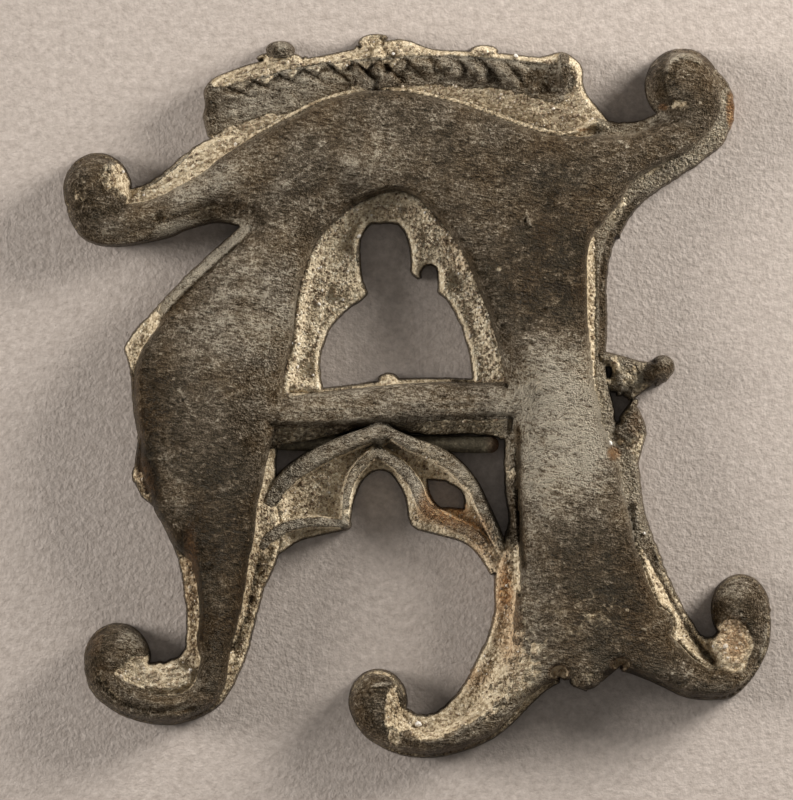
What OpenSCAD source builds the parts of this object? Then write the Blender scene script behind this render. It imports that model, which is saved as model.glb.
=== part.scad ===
// Cast pewter badge: a Gothic letter A with curled ends under a crown band.
// The badge lies on its flat back: +X is its right, +Y its top, +Z comes out of the front.

/* [Heights] */
// Height of the ledge that runs round the strokes
ledge_z = 1.5; // [1.0:0.1:1.8]
// Height of the plate that holds the trefoil opening
plate_z = 1.3; // [0.8:0.1:1.5]
// Height of the crown's plate
crown_z = 1.9; // [1.6:0.1:2.2]
// Height of the lattice bars on the crown
lattice_z = 2.35; // [2.0:0.05:2.8]
// Height of the base of the lower tracery
web_z = 0.9; // [0.6:0.1:1.2]

/* [Strokes] */
// How much the face of a stroke rises from its edge to its middle
camber = 0.45; // [0.2:0.05:0.8]
// Width in plan of the slope between the ledge and the face
wall_run = 0.3; // [0.2:0.05:0.5]
// How far the outer wall leans in from the back to the ledge
wall_draft = 0.12; // [0.05:0.01:0.2]

/* [Crown] */
// Distance from one lattice crossing to the next along the band
lattice_pitch = 1.3; // [1.0:0.1:2.0]
// Width of a lattice bar
lattice_bar = 0.3; // [0.2:0.05:0.5]

/* [Pin] */
// Diameter of the pin
pin_d = 0.9; // [0.7:0.1:1.0]
// Height of the pin's axis above the back
pin_axis_z = 0.65; // [0.6:0.05:0.8]
// Clearance between the pin and the casting
pin_gap = 0.05; // [0.03:0.01:0.1]

/* [Hidden] */

// How far each shape of the casting reaches below the back before the back is cut flat,
// and the side of the block that cuts it.
sink = 0.4;
cut_side = 40;

// Places in the plan are measured from the middle of the badge.
// Columns of a stroke's rows: a point on one edge, the point across from it on the other edge,
// the ledge's width at the first and at the second edge, and the height of the crown of the face.
AX = 0;
AY = 1;
BX = 2;
BY = 3;
LEDGE_A = 4;
LEDGE_B = 5;
TOP = 6;

// Bow, from the upper left curl over the top to the upper right curl; a is the upper edge.
bow_rows = [
    [-16.20, 10.50, -17.60, 10.00, 0.30, 0.25, 2.8],
    [-16.10, 10.40, -17.45,  8.90, 0.40, 0.25, 2.9],
    [-15.85, 10.30, -16.60,  7.75, 0.50, 0.30, 3.0],
    [-14.75, 10.30, -14.95,  7.45, 0.80, 0.35, 3.0],
    [-13.35, 10.80, -12.60,  7.85, 1.00, 0.80, 3.0],
    [-12.35, 11.55, -11.35,  8.35, 1.20, 0.70, 3.1],
    [-11.20, 12.50,  -9.95,  8.65, 1.50, 0.95, 3.2],
    [ -9.75, 13.20,  -8.40,  8.40, 1.10, 0.90, 3.3],
    [ -8.20, 13.30,  -6.60,  8.55, 0.40, 0.30, 3.3],
    [ -6.60, 14.15,  -5.10,  8.55, 0.40, 0.20, 3.4],
    [ -4.60, 15.10,  -3.60,  9.08, 0.40, 0.20, 3.4],
    [ -2.75, 15.55,  -2.25,  9.80, 0.40, 0.20, 3.4],
    [ -1.10, 15.60,  -1.10, 10.15, 0.40, 0.15, 3.4],
    [  0.70, 15.30,   0.15,  9.65, 0.40, 0.20, 3.4],
    [  2.65, 14.80,   1.55,  8.20, 0.40, 0.20, 3.4],
    [  4.55, 14.10,   3.40,  7.80, 0.40, 0.20, 3.4],
    [  6.20, 13.55,   5.15,  7.55, 0.40, 0.20, 3.4],
    [  7.70, 13.40,   7.15,  7.30, 0.50, 0.50, 3.4],
    [  8.75, 14.30,   9.75,  7.60, 1.30, 1.20, 3.3],
    [  9.70, 13.80,  11.00,  9.35, 0.90, 1.35, 3.3],
    [ 11.00, 13.80,  12.95, 10.80, 0.70, 1.10, 3.1],
    [ 11.80, 14.10,  14.25, 11.65, 0.60, 1.00, 3.0],
    [ 12.15, 14.25,  15.35, 12.60, 0.60, 1.00, 3.0],
    [ 12.25, 14.40,  15.90, 13.80, 0.70, 0.90, 3.0],
    [ 12.35, 14.60,  15.90, 14.80, 0.70, 0.80, 3.0],
    [ 12.60, 14.90,  15.60, 15.70, 0.60, 0.50, 3.0],
    [ 12.90, 15.10,  14.90, 16.45, 0.40, 0.30, 3.0]];

// Left leg and the lower left hook; a is the outer edge, then the inner edge of the hook.
left_leg_rows = [
    [ -7.95,  9.40,  -1.90, 10.50, 0.20, 0.20, 2.7],
    [ -9.05,  8.35,  -2.95,  9.65, 0.60, 0.20, 3.1],
    [-10.60,  7.00,  -4.65,  8.00, 0.65, 0.20, 3.4],
    [-12.05,  5.60,  -5.45,  6.40, 0.75, 0.20, 3.4],
    [-13.35,  4.20,  -5.85,  4.70, 1.00, 0.20, 3.4],
    [-14.25,  3.25,  -6.00,  3.55, 1.20, 0.20, 3.4],
    [-14.70,  2.30,  -6.15,  2.40, 1.00, 0.20, 3.4],
    [-14.40,  1.30,  -6.45,  1.30, 0.40, 0.20, 3.4],
    [-14.25, -0.60,  -6.65, -0.60, 0.20, 0.20, 3.4],
    [-13.90, -2.60,  -6.95, -2.70, 0.25, 0.50, 3.4],
    [-13.70, -4.10,  -7.00, -4.20, 0.30, 0.75, 3.4],
    [-13.30, -5.50,  -6.85, -5.60, 0.40, 1.20, 3.3],
    [-12.70, -6.60,  -6.65, -6.95, 0.70, 1.50, 3.3],
    [-12.00, -8.20,  -7.00, -8.35, 0.75, 1.45, 3.2],
    [-11.75, -9.70,  -7.60, -9.70, 0.85, 1.05, 3.2],
    [-11.60, -11.20, -8.00, -11.20, 0.80, 0.95, 3.1],
    [-11.65, -12.40, -8.35, -12.60, 0.70, 1.00, 3.0],
    [-11.90, -12.90, -8.70, -13.55, 1.10, 0.80, 3.0],
    [-12.30, -13.10, -9.20, -14.60, 1.50, 0.50, 2.9],
    [-12.50, -13.20, -9.95, -15.60, 1.80, 0.35, 2.8],
    [-12.60, -13.25, -11.05, -16.20, 1.90, 0.30, 2.8],
    [-12.75, -13.25, -12.30, -16.50, 1.80, 0.25, 2.8],
    [-12.90, -13.25, -13.60, -16.40, 1.60, 0.25, 2.8],
    [-13.10, -13.30, -14.85, -16.00, 1.20, 0.25, 2.8],
    [-13.50, -13.30, -15.90, -15.30, 0.70, 0.25, 2.8],
    [-14.00, -13.20, -16.45, -14.60, 0.50, 0.25, 2.8],
    [-14.50, -13.10, -16.68, -13.70, 0.40, 0.25, 2.8]];

// Right leg; a is the inner edge.
right_leg_rows = [
    [-0.30,  10.10, 10.90,   9.40, 0.20, 1.35, 2.7],
    [ 0.90,   8.90, 10.30,   8.40, 0.20, 1.35, 3.0],
    [ 1.55,   8.05,  9.90,   7.60, 0.20, 1.30, 3.4],
    [ 2.30,   6.90,  9.65,   6.50, 0.20, 1.20, 3.4],
    [ 3.00,   5.20,  9.55,   5.10, 0.20, 1.10, 3.4],
    [ 3.60,   3.60,  9.60,   3.60, 0.20, 1.10, 3.4],
    [ 4.05,   2.00,  9.50,   2.00, 0.20, 0.85, 3.4],
    [ 4.30,   0.55,  9.70,   0.50, 0.20, 0.90, 3.4],
    [ 4.45,  -0.60,  9.95,  -0.60, 0.30, 0.90, 3.4],
    [ 4.40,  -1.40, 10.05,  -1.40, 0.45, 0.90, 3.4],
    [ 4.35,  -2.20, 10.80,  -2.30, 0.60, 1.30, 3.4],
    [ 4.30,  -3.40, 11.15,  -3.40, 0.75, 1.20, 3.4],
    [ 4.35,  -4.80, 11.30,  -4.80, 0.75, 1.05, 3.4],
    [ 4.55,  -6.20, 11.60,  -6.20, 0.65, 1.00, 3.4],
    [ 4.15,  -7.60, 12.10,  -7.60, 1.05, 1.20, 3.4],
    [ 3.85,  -9.00, 12.65,  -9.00, 1.30, 1.25, 3.4],
    [ 3.85, -10.40, 13.30, -10.40, 1.30, 1.35, 3.4],
    [ 4.40, -11.80, 14.05, -11.60, 1.30, 1.30, 3.3]];

// Middle hook; a is the inner edge.
middle_hook_rows = [
    [ 3.90,  -9.00,  9.15, -12.70, 1.30, 0.20, 3.4],
    [ 3.85, -10.20,  8.40, -13.95, 1.30, 0.30, 3.4],
    [ 3.60, -11.70,  7.25, -14.35, 1.30, 0.35, 3.2],
    [ 3.05, -12.95,  6.30, -14.95, 1.20, 0.45, 3.0],
    [ 2.35, -14.30,  5.15, -16.10, 1.20, 0.45, 2.9],
    [ 1.65, -15.20,  3.90, -17.15, 1.10, 0.35, 2.8],
    [ 1.05, -15.70,  2.40, -17.80, 1.00, 0.30, 2.8],
    [ 0.40, -15.90,  0.75, -18.15, 1.00, 0.30, 2.8],
    [-0.15, -15.80, -0.85, -18.00, 0.80, 0.30, 2.8],
    [-0.60, -15.45, -2.25, -17.35, 0.50, 0.25, 2.9],
    [-1.00, -15.30, -3.00, -16.60, 0.40, 0.25, 2.9],
    [-1.40, -15.20, -3.40, -15.70, 0.40, 0.25, 2.9]];

// Lower right hook; a is the inner edge.
right_hook_rows = [
    [12.60,  -8.90,  7.90, -12.20, 1.20, 0.20, 3.4],
    [13.35, -10.50,  8.75, -14.10, 1.40, 0.30, 3.3],
    [13.90, -11.40, 10.05, -13.80, 1.30, 0.25, 3.2],
    [14.30, -11.95, 11.15, -14.10, 1.25, 0.25, 3.1],
    [14.50, -12.05, 12.30, -14.60, 1.30, 0.25, 3.0],
    [14.65, -12.00, 13.50, -15.15, 1.50, 0.25, 2.9],
    [14.75, -12.00, 14.80, -15.25, 1.70, 0.25, 2.8],
    [14.85, -11.95, 15.90, -15.05, 1.70, 0.25, 2.7],
    [14.95, -11.85, 16.90, -14.05, 1.40, 0.30, 2.6],
    [15.05, -11.70, 17.60, -12.70, 1.10, 0.30, 2.6],
    [15.30, -11.30, 17.75, -11.60, 0.80, 0.30, 2.6],
    [15.60, -10.90, 17.68, -10.60, 0.50, 0.30, 2.6]];

// Columns of a plate's rows: the points across from each other on its two edges.
// Crown plate, from its left to its right end; a is the upper edge.
crown_rows = [
    [-10.75, 14.00, -10.50, 13.00],
    [-10.62, 14.60, -10.30, 12.80],
    [-10.70, 15.20, -10.10, 12.60],
    [-10.40, 15.75,  -9.80, 12.40],
    [ -9.75, 16.15,  -8.95, 12.30],
    [ -7.75, 16.80,  -7.45, 13.05],
    [ -5.45, 16.95,  -5.25, 14.20],
    [ -3.15, 17.40,  -2.95, 14.90],
    [ -0.85, 17.90,  -0.75, 14.90],
    [  0.75, 17.40,   0.85, 14.70],
    [  2.65, 17.30,   2.75, 14.20],
    [  4.71, 17.15,   4.78, 13.55],
    [  6.15, 17.00,   6.40, 13.05],
    [  7.25, 17.25,   7.90, 12.90],
    [  8.05, 16.80,   8.60, 13.00],
    [  8.33, 16.30,   9.10, 13.20],
    [  8.33, 15.70,   9.40, 13.40],
    [  8.55, 15.10,   9.60, 13.60],
    [  8.95, 14.60,   9.85, 13.50]];

// Arched plate inside the A, from the top down; a is its left and b its right edge.
arch_rows = [
    [-2.20, 10.20, -0.20, 10.20],
    [-4.40,  8.60,  1.60,  8.60],
    [-5.60,  6.20,  2.90,  6.20],
    [-6.10,  3.60,  3.80,  3.60],
    [-6.50,  1.40,  4.60,  1.40],
    [-6.80,  0.20,  4.70,  0.20]];

// Trefoil opening, from the top down; a is its left and b its right edge.
trefoil_rows = [
    [-2.25,  8.60, -0.95,  8.60],
    [-2.60,  8.20, -0.65,  8.20],
    [-2.80,  7.55, -0.45,  7.55],
    [-2.80,  6.60, -0.35,  6.60],
    [-2.65,  5.70, -0.25,  6.05],
    [-2.40,  5.15,  1.05,  5.25]];
trefoil_foot_rows = [
    [-2.40,  5.15,  1.00,  5.25],
    [-3.00,  4.60,  1.60,  4.60],
    [-3.90,  3.90,  2.00,  3.90],
    [-4.40,  3.20,  2.30,  3.10],
    [-4.75,  2.20,  2.60,  2.20],
    [-4.85,  1.20,  2.70,  1.20],
    [-4.70,  0.20,  2.65,  0.20]];

// Small slot beside the trefoil's upper lobe: the middle and the radius of its two ends.
side_slot = [
    [0.62, 5.30, 0.42],
    [0.62, 6.10, 0.42]];

// Base of the lower tracery, from left to right; a is its upper and b its lower edge.
web_rows = [
    [-7.60, -4.90, -7.30, -8.20],
    [-6.90, -4.20, -6.60, -7.75],
    [-5.90, -3.50, -5.80, -7.25],
    [-4.60, -2.70, -4.60, -6.95],
    [-3.60, -2.20, -3.45, -6.60],
    [-3.00, -1.95, -3.20, -5.50],
    [-2.40, -1.75, -2.80, -4.40],
    [-2.00, -1.70, -2.25, -3.85],
    [-1.70, -1.70, -1.70, -3.75],
    [-0.80, -2.00, -1.20, -4.05],
    [ 0.50, -2.60, -0.60, -5.10],
    [ 1.60, -3.15, -0.30, -6.50],
    [ 2.60, -4.00,  0.90, -6.95],
    [ 3.35, -5.10,  2.30, -7.35],
    [ 3.90, -6.60,  3.10, -8.05],
    [ 4.60, -7.40,  3.80, -9.20]];

// Hole in the right spandrel, from the top down; a is its left and b its right edge.
spandrel_hole_rows = [
    [0.55, -4.20, 1.30, -4.25],
    [0.60, -4.60, 2.00, -4.60],
    [0.80, -5.10, 2.30, -5.05],
    [1.20, -5.60, 2.30, -5.60]];

// Columns of a rib's rows: its middle, its width and its height above the back.
outer_left_rib = [
    [-1.90, -1.75, 0.9, 2.3],
    [-3.40, -2.30, 1.0, 2.1],
    [-5.10, -3.10, 1.0, 1.9],
    [-6.50, -4.10, 1.0, 1.8],
    [-7.36, -5.27, 0.9, 1.7]];
outer_right_rib = [
    [-1.78, -1.66, 0.7, 2.25],
    [-1.25, -1.90, 0.7, 2.25],
    [-0.10, -2.45, 0.8, 2.1],
    [ 1.00, -2.90, 0.9, 2.0],
    [ 1.90, -3.55, 0.9, 1.9],
    [ 2.65, -4.35, 0.8, 1.9],
    [ 3.20, -5.30, 0.7, 1.8],
    [ 4.00, -7.10, 0.7, 1.7]];
inner_left_rib = [
    [-1.95, -2.70, 0.6, 1.8],
    [-2.85, -3.50, 0.6, 1.7],
    [-3.45, -4.60, 0.5, 1.7],
    [-3.60, -6.50, 0.5, 1.7]];
inner_right_rib = [
    [-1.95, -2.80, 0.6, 1.8],
    [-0.90, -3.45, 0.7, 1.8],
    [-0.15, -4.35, 0.7, 1.7],
    [ 0.45, -5.60, 0.7, 1.7],
    [ 1.70, -6.35, 0.7, 1.7],
    [ 2.90, -6.95, 0.7, 1.6],
    [ 3.70, -7.90, 0.7, 1.6]];
lower_left_rib = [
    [-7.50, -7.20, 0.7, 1.6],
    [-6.60, -6.60, 0.6, 1.6],
    [-5.30, -6.30, 0.6, 1.6],
    [-3.60, -6.40, 0.5, 1.6]];
right_leg_rim = [
    [10.95, -5.40, 0.45, 1.95],
    [11.30, -7.00, 0.45, 1.95],
    [12.10, -9.30, 0.50, 1.95],
    [13.20, -11.10, 0.50, 1.95],
    [14.30, -12.40, 0.60, 1.90],
    [14.90, -13.20, 0.60, 1.80]];
left_leg_rim = [
    [-6.95, -7.80, 0.45, 1.95],
    [-7.55, -9.20, 0.45, 1.95],
    [-7.95, -10.80, 0.45, 1.95],
    [-8.30, -12.40, 0.45, 1.95],
    [-9.00, -14.00, 0.45, 1.95]];
crown_rim = [
    [-9.70, 15.35, 0.36, 2.25],
    [-8.30, 15.75, 0.36, 2.25],
    [-5.75, 16.40, 0.36, 2.25],
    [-3.70, 16.65, 0.36, 2.25],
    [-1.15, 16.90, 0.36, 2.25],
    [ 1.90, 16.95, 0.36, 2.25],
    [ 4.45, 16.75, 0.36, 2.25],
    [ 6.90, 16.50, 0.36, 2.25]];

// Lower edge of the lattice band below the crown's rim.
band_foot = [
    [-9.60, 14.60],
    [-5.75, 15.35],
    [-3.20, 15.60],
    [ 0.20, 15.65],
    [ 3.20, 15.60],
    [ 7.00, 14.85]];

// Columns of a knob: its middle, its two radii and its height.
// The knobs in the four curls and the middle hook, then the two where the lower hooks part.
curl_knobs = [
    [-16.00, 10.30, 1.75, 1.90, 3.0],
    [ 13.28, 15.53, 1.90, 1.90, 3.2],
    [-15.00, -13.20, 1.70, 1.85, 3.1],
    [ -1.95, -15.30, 1.50, 1.65, 3.1],
    [16.20, -10.70, 1.50, 1.80, 2.8]];
fork_knobs = [
    [8.30, -12.10, 1.70, 1.30, 3.1],
    [8.45, -13.80, 0.95, 0.95, 3.0]];
left_bump = [-13.83, -3.97, 0.52, 0.75, 1.37];
crossbar_bump = [-1.45, 0.65, 0.65, 0.55, 1.7];
crocket_knob = [12.15, 1.30, 0.85, 0.82, 2.3];
crown_knobs = [
    [-6.85, 17.28, 0.75, 0.52, 2.6],
    [-2.05, 17.70, 0.90, 0.45, 2.4],
    [ 3.35, 17.25, 0.75, 0.35, 2.1]];

// Catmull-Rom point between q and r, taken column by column.
function eased(p, q, r, s, t) =
    0.5 * (2 * q + (r - p) * t + (2 * p - 5 * q + 4 * r - s) * t * t + (3 * q - p - 3 * r + s) * t * t * t);

// Rows of a table with steps - 1 eased rows put between each two of them.
function finer(rows, steps) =
    let (last = len(rows) - 1)
    [for (i = [0 : last - 1], k = [0 : steps - 1])
        eased(rows[max(i - 1, 0)], rows[i], rows[i + 1], rows[min(i + 2, last)], k / steps),
     rows[last]];

// Section of a stroke: outer wall, ledge, slope, cambered face, and the same down the other side.
function stroke_section(row) =
    let (
        a = [row[AX], row[AY]],
        b = [row[BX], row[BY]],
        width = norm(b - a),
        across = (b - a) / width,
        sink_run = wall_draft * sink / ledge_z,
        face_from = row[LEDGE_A] + wall_run,
        face_to = width - row[LEDGE_B] - wall_run,
        profile = [
            [-sink_run, -sink],
            [wall_draft, ledge_z],
            [row[LEDGE_A], ledge_z],
            for (t = [0 : 0.25 : 1])
                [face_from + (face_to - face_from) * t, row[TOP] - camber * pow(2 * t - 1, 2)],
            [width - row[LEDGE_B], ledge_z],
            [width - wall_draft, ledge_z],
            [width + sink_run, -sink]])
    [for (p = profile) [each (a + across * p[0]), p[1]]];

// Where a rib's sloping shoulders start, as a share of its height, and how wide its flat top is.
shoulder = 0.6;
flat_top = 0.55;

// Section of a rib at one row: upright sides, sloping shoulders and a flat top.
function rib_section(row, heading) =
    let (
        middle = [row[0], row[1]],
        side = [-heading[1], heading[0]] * row[2] / 2,
        top = row[3],
        profile = [
            [1, -sink],
            [1, top * shoulder],
            [flat_top, top],
            [-flat_top, top],
            [-1, top * shoulder],
            [-1, -sink]])
    [for (p = profile) [each (middle + side * p[0]), p[1]]];

// Direction of a path of rows at row i.
function heading(rows, i) =
    let (
        p = rows[max(i - 1, 0)],
        q = rows[min(i + 1, len(rows) - 1)],
        run = [q[0] - p[0], q[1] - p[1]])
    run / norm(run);

// Closed skin over rings that all have the same number of points.
module skin(rings) {
    n = len(rings[0]);
    m = len(rings);
    step = rings[1][0] - rings[0][0];
    across = rings[0][n - 1] - rings[0][0];
    turned = cross([across[0], across[1]], [step[0], step[1]]) < 0;
    faces = [
        [for (i = [0 : n - 1]) i],
        for (j = [0 : m - 2], i = [0 : n - 1])
            let (k = (i + 1) % n, low = j * n, high = low + n)
            each [[low + i, high + i, high + k], [low + i, high + k, low + k]],
        [for (i = [n - 1 : -1 : 0]) (m - 1) * n + i]];
    polyhedron(
        points = [for (ring = rings) each ring],
        faces = turned ? [for (face = faces) [for (i = [len(face) - 1 : -1 : 0]) face[i]]] : faces);
}

module stroke(rows, steps = 2) {
    skin([for (row = finer(rows, steps)) stroke_section(row)]);
}

module rib(rows, steps = 2) {
    path = finer(rows, steps);
    skin([for (i = [0 : len(path) - 1]) rib_section(path[i], heading(path, i))]);
}

// Flat shape between the two edges of a plate's rows.
module between_edges(rows, steps = 2) {
    path = finer(rows, steps);
    last = len(path) - 1;
    polygon(concat(
        [for (row = path) [row[AX], row[AY]]],
        [for (i = [last : -1 : 0]) [path[i][BX], path[i][BY]]]));
}

// Thickness of the thin discs that a domed shape is drawn over, and the discs themselves:
// their size and their height as shares of the knob's.
skim = 0.01;
dome = [[1, 0], [0.96, 0.5], [0.75, 0.86], [0.35, 1]];

// Domed knob with upright sides.
module knob(place) {
    translate([place[0], place[1], 0])
        hull()
            for (p = concat([[1, -sink / place[4]]], dome))
                translate([0, 0, place[4] * p[1] - skim])
                    scale([place[2] * p[0], place[3] * p[0], 1])
                        cylinder(r = 1, h = skim, $fn = 20);
}

// Crossbar, from left to right; a is the edge of its upper ledge, b its lower edge.
crossbar_rows = [
    [-7.30, 0.35, -7.30, -1.60, 0.30, 0.15, 2.9],
    [-4.60, 0.45, -4.60, -1.60, 0.30, 0.15, 2.9],
    [-2.50, 0.70, -2.50, -1.50, 0.30, 0.15, 2.9],
    [-0.85, 0.90, -0.85, -1.40, 0.30, 0.15, 2.9],
    [ 1.50, 0.95,  1.50, -1.30, 0.30, 0.15, 2.9],
    [ 2.70, 0.90,  2.70, -1.25, 0.30, 0.15, 2.9],
    [ 5.00, 1.00,  5.00, -1.20, 0.30, 0.15, 2.9]];

// Columns of the slope under the crossbar: place along it, and where it starts and ends.
slope_rows = [
    [-7.30, -1.30, -2.65],
    [-5.20, -1.30, -2.30],
    [-3.40, -1.25, -1.85],
    [-2.40, -1.20, -1.60],
    [-1.30, -1.15, -1.75],
    [ 0.90, -1.05, -2.05],
    [ 2.75, -0.95, -1.95],
    [ 4.60, -0.95, -2.25]];
slope_top_z = 2.6;
slope_foot_z = 1.35;
slope_back_z = 1.2;
slope_overlap = 0.5;

// How far the crown's upper wall leans in, and the bevel above it.
crown_draft = 0.1;
crown_bevel = 0.3;

// Lattice band: the foot of its bars inside the plate, its two ends, and its bays at the pitch
// that divides it evenly.
lattice_foot_z = crown_z - 0.13;
band_from = -9.44;
band_to = 6.86;
bays = round((band_to - band_from) / lattice_pitch);
bay = (band_to - band_from) / bays;

// Stem of the crocket, drawn over three knobs without their domes, and the small hole beside it.
stem_knobs = [
    [ 9.95, 1.05, 0.90, 0.90, 1.42],
    [11.50, 1.00, 0.60, 0.60, 1.62],
    [10.75, 0.35, 0.55, 0.55, 1.32]];
stem_hole = [9.58, 1.20, 0.15, 0.30];

// Leaf on the right leg's ledge below the crocket.
leaf_z = 1.6;
leaf_outline = [
    [10.72, -0.22], [11.15, -0.70], [11.45, -1.40], [11.52, -1.90], [11.35, -2.45],
    [11.08, -3.48], [10.20, -3.55], [ 9.70, -1.70], [10.10, -1.30], [10.12, -1.05]];

// The pin's axis, from its seat in the left leg to its free end.
pin_from = [-7.40, -2.30];
pin_to = [4.15, -2.44];
pin_run = pin_to - pin_from;

module letter() {
    stroke(bow_rows);
    stroke(left_leg_rows);
    stroke(right_leg_rows);
    stroke(middle_hook_rows);
    stroke(right_hook_rows);
    for (place = concat(curl_knobs, fork_knobs, [left_bump]))
        knob(place);
    rib(right_leg_rim);
    rib(left_leg_rim);
}

module crossbar() {
    stroke(crossbar_rows, steps = 1);
    skin([for (row = finer(slope_rows, 2)) [
        [row[0], row[1] + slope_overlap, slope_back_z],
        [row[0], row[1] + slope_overlap, slope_top_z],
        [row[0], row[1], slope_top_z],
        [row[0], row[2], slope_foot_z],
        [row[0], row[2], slope_back_z]]]);
    knob(crossbar_bump);
}

// Plate of the height z with its foot below the back.
module plate(z) {
    translate([0, 0, -sink])
        linear_extrude(z + sink)
            children();
}

module upper_tracery() {
    plate(plate_z)
        difference() {
            between_edges(arch_rows, steps = 3);
            between_edges(trefoil_rows);
            between_edges(trefoil_foot_rows);
            hull()
                for (place = side_slot)
                    translate([place[0], place[1]])
                        circle(r = place[2], $fn = 20);
        }
}

module lower_tracery() {
    plate(web_z)
        difference() {
            between_edges(web_rows);
            between_edges(spandrel_hole_rows);
        }
    rib(outer_left_rib);
    rib(outer_right_rib);
    rib(inner_left_rib);
    rib(inner_right_rib);
    rib(lower_left_rib);
}

// Height in the plan of a path of rows at the place x.
function at(x, rows) = lookup(x, [for (row = rows) [row[0], row[1]]]);

module lattice_end(x, rows) {
    translate([x, at(x, rows), lattice_foot_z])
        cylinder(r1 = lattice_bar * 0.8, r2 = lattice_bar * 0.4, h = lattice_z - lattice_foot_z, $fn = 6);
}

module crown() {
    skin([for (row = finer(crown_rows, 2))
        let (
            a = [row[AX], row[AY]],
            b = [row[BX], row[BY]],
            across = (b - a) / norm(b - a))
        [
            [each a, -sink],
            [each (a + across * crown_draft), crown_z - crown_bevel],
            [each (a + across * (crown_draft + crown_bevel)), crown_z],
            [each b, crown_z],
            [each b, -sink]]]);
    rib(crown_rim);
    for (i = [0 : bays - 1]) {
        x = band_from + i * bay;
        hull() {
            lattice_end(x, crown_rim);
            lattice_end(x + bay, band_foot);
        }
        hull() {
            lattice_end(x, band_foot);
            lattice_end(x + bay, crown_rim);
        }
    }
    for (place = crown_knobs)
        knob(place);
}

module crocket() {
    knob(crocket_knob);
    hull()
        for (place = stem_knobs)
            translate([place[0], place[1], -sink])
                cylinder(r = place[2], h = place[4] + sink, $fn = 20);
    plate(leaf_z)
        polygon(leaf_outline);
}

module pin_bar(radius, ends) {
    tilt = atan2(pin_run[1], pin_run[0]);
    translate([pin_from[0], pin_from[1], pin_axis_z])
        rotate([0, 0, tilt])
            translate([-ends, 0, 0])
                rotate([0, 90, 0])
                    cylinder(r = radius, h = norm(pin_run) - radius + 2 * ends, $fn = 32);
}

module casting() {
    color("dimgray")
        difference() {
            union() {
                letter();
                crossbar();
                upper_tracery();
                lower_tracery();
                crown();
                crocket();
            }
            translate([-cut_side / 2, -cut_side / 2, -2 * sink])
                cube([cut_side, cut_side, 2 * sink]);
            hull()
                for (drop = [0, 1])
                    translate([0, 0, -drop])
                        pin_bar(pin_d / 2 + pin_gap, pin_gap);
            translate([stem_hole[0], stem_hole[1], -sink])
                linear_extrude(crown_z + sink)
                    scale([stem_hole[2], stem_hole[3]])
                        circle(r = 1, $fn = 16);
        }
}

module pin() {
    color("saddlebrown") {
        pin_bar(pin_d / 2, 0);
        translate([pin_to[0] - pin_d / 2, pin_to[1], pin_axis_z])
            sphere(d = pin_d, $fn = 32);
    }
}

casting();
pin();
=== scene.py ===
import bmesh
import bpy
import numpy as np
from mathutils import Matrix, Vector


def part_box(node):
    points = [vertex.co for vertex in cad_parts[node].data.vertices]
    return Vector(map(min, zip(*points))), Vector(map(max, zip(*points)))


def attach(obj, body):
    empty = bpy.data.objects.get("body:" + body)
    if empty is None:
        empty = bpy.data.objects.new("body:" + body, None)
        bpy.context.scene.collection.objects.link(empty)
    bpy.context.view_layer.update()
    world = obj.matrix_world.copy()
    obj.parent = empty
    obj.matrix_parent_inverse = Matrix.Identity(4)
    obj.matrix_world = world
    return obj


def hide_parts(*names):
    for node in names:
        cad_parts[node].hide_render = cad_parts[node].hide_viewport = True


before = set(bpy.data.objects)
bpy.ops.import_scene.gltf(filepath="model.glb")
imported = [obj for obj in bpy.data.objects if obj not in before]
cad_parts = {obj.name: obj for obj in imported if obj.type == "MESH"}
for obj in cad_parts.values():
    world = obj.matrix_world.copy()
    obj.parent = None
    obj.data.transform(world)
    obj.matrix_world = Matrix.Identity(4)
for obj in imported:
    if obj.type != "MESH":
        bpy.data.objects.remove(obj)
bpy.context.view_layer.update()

# The letter: a Gothic A of cast pewter, in one piece with everything but the pin. Its strokes have broad,
# gently cambered faces above a narrow ledge, and end in curls with a ball inside. It came out of the mould
# with a flat back; the faces are dark and rubbed, and hard sand sits on the ledges and in the hooks.

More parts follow.
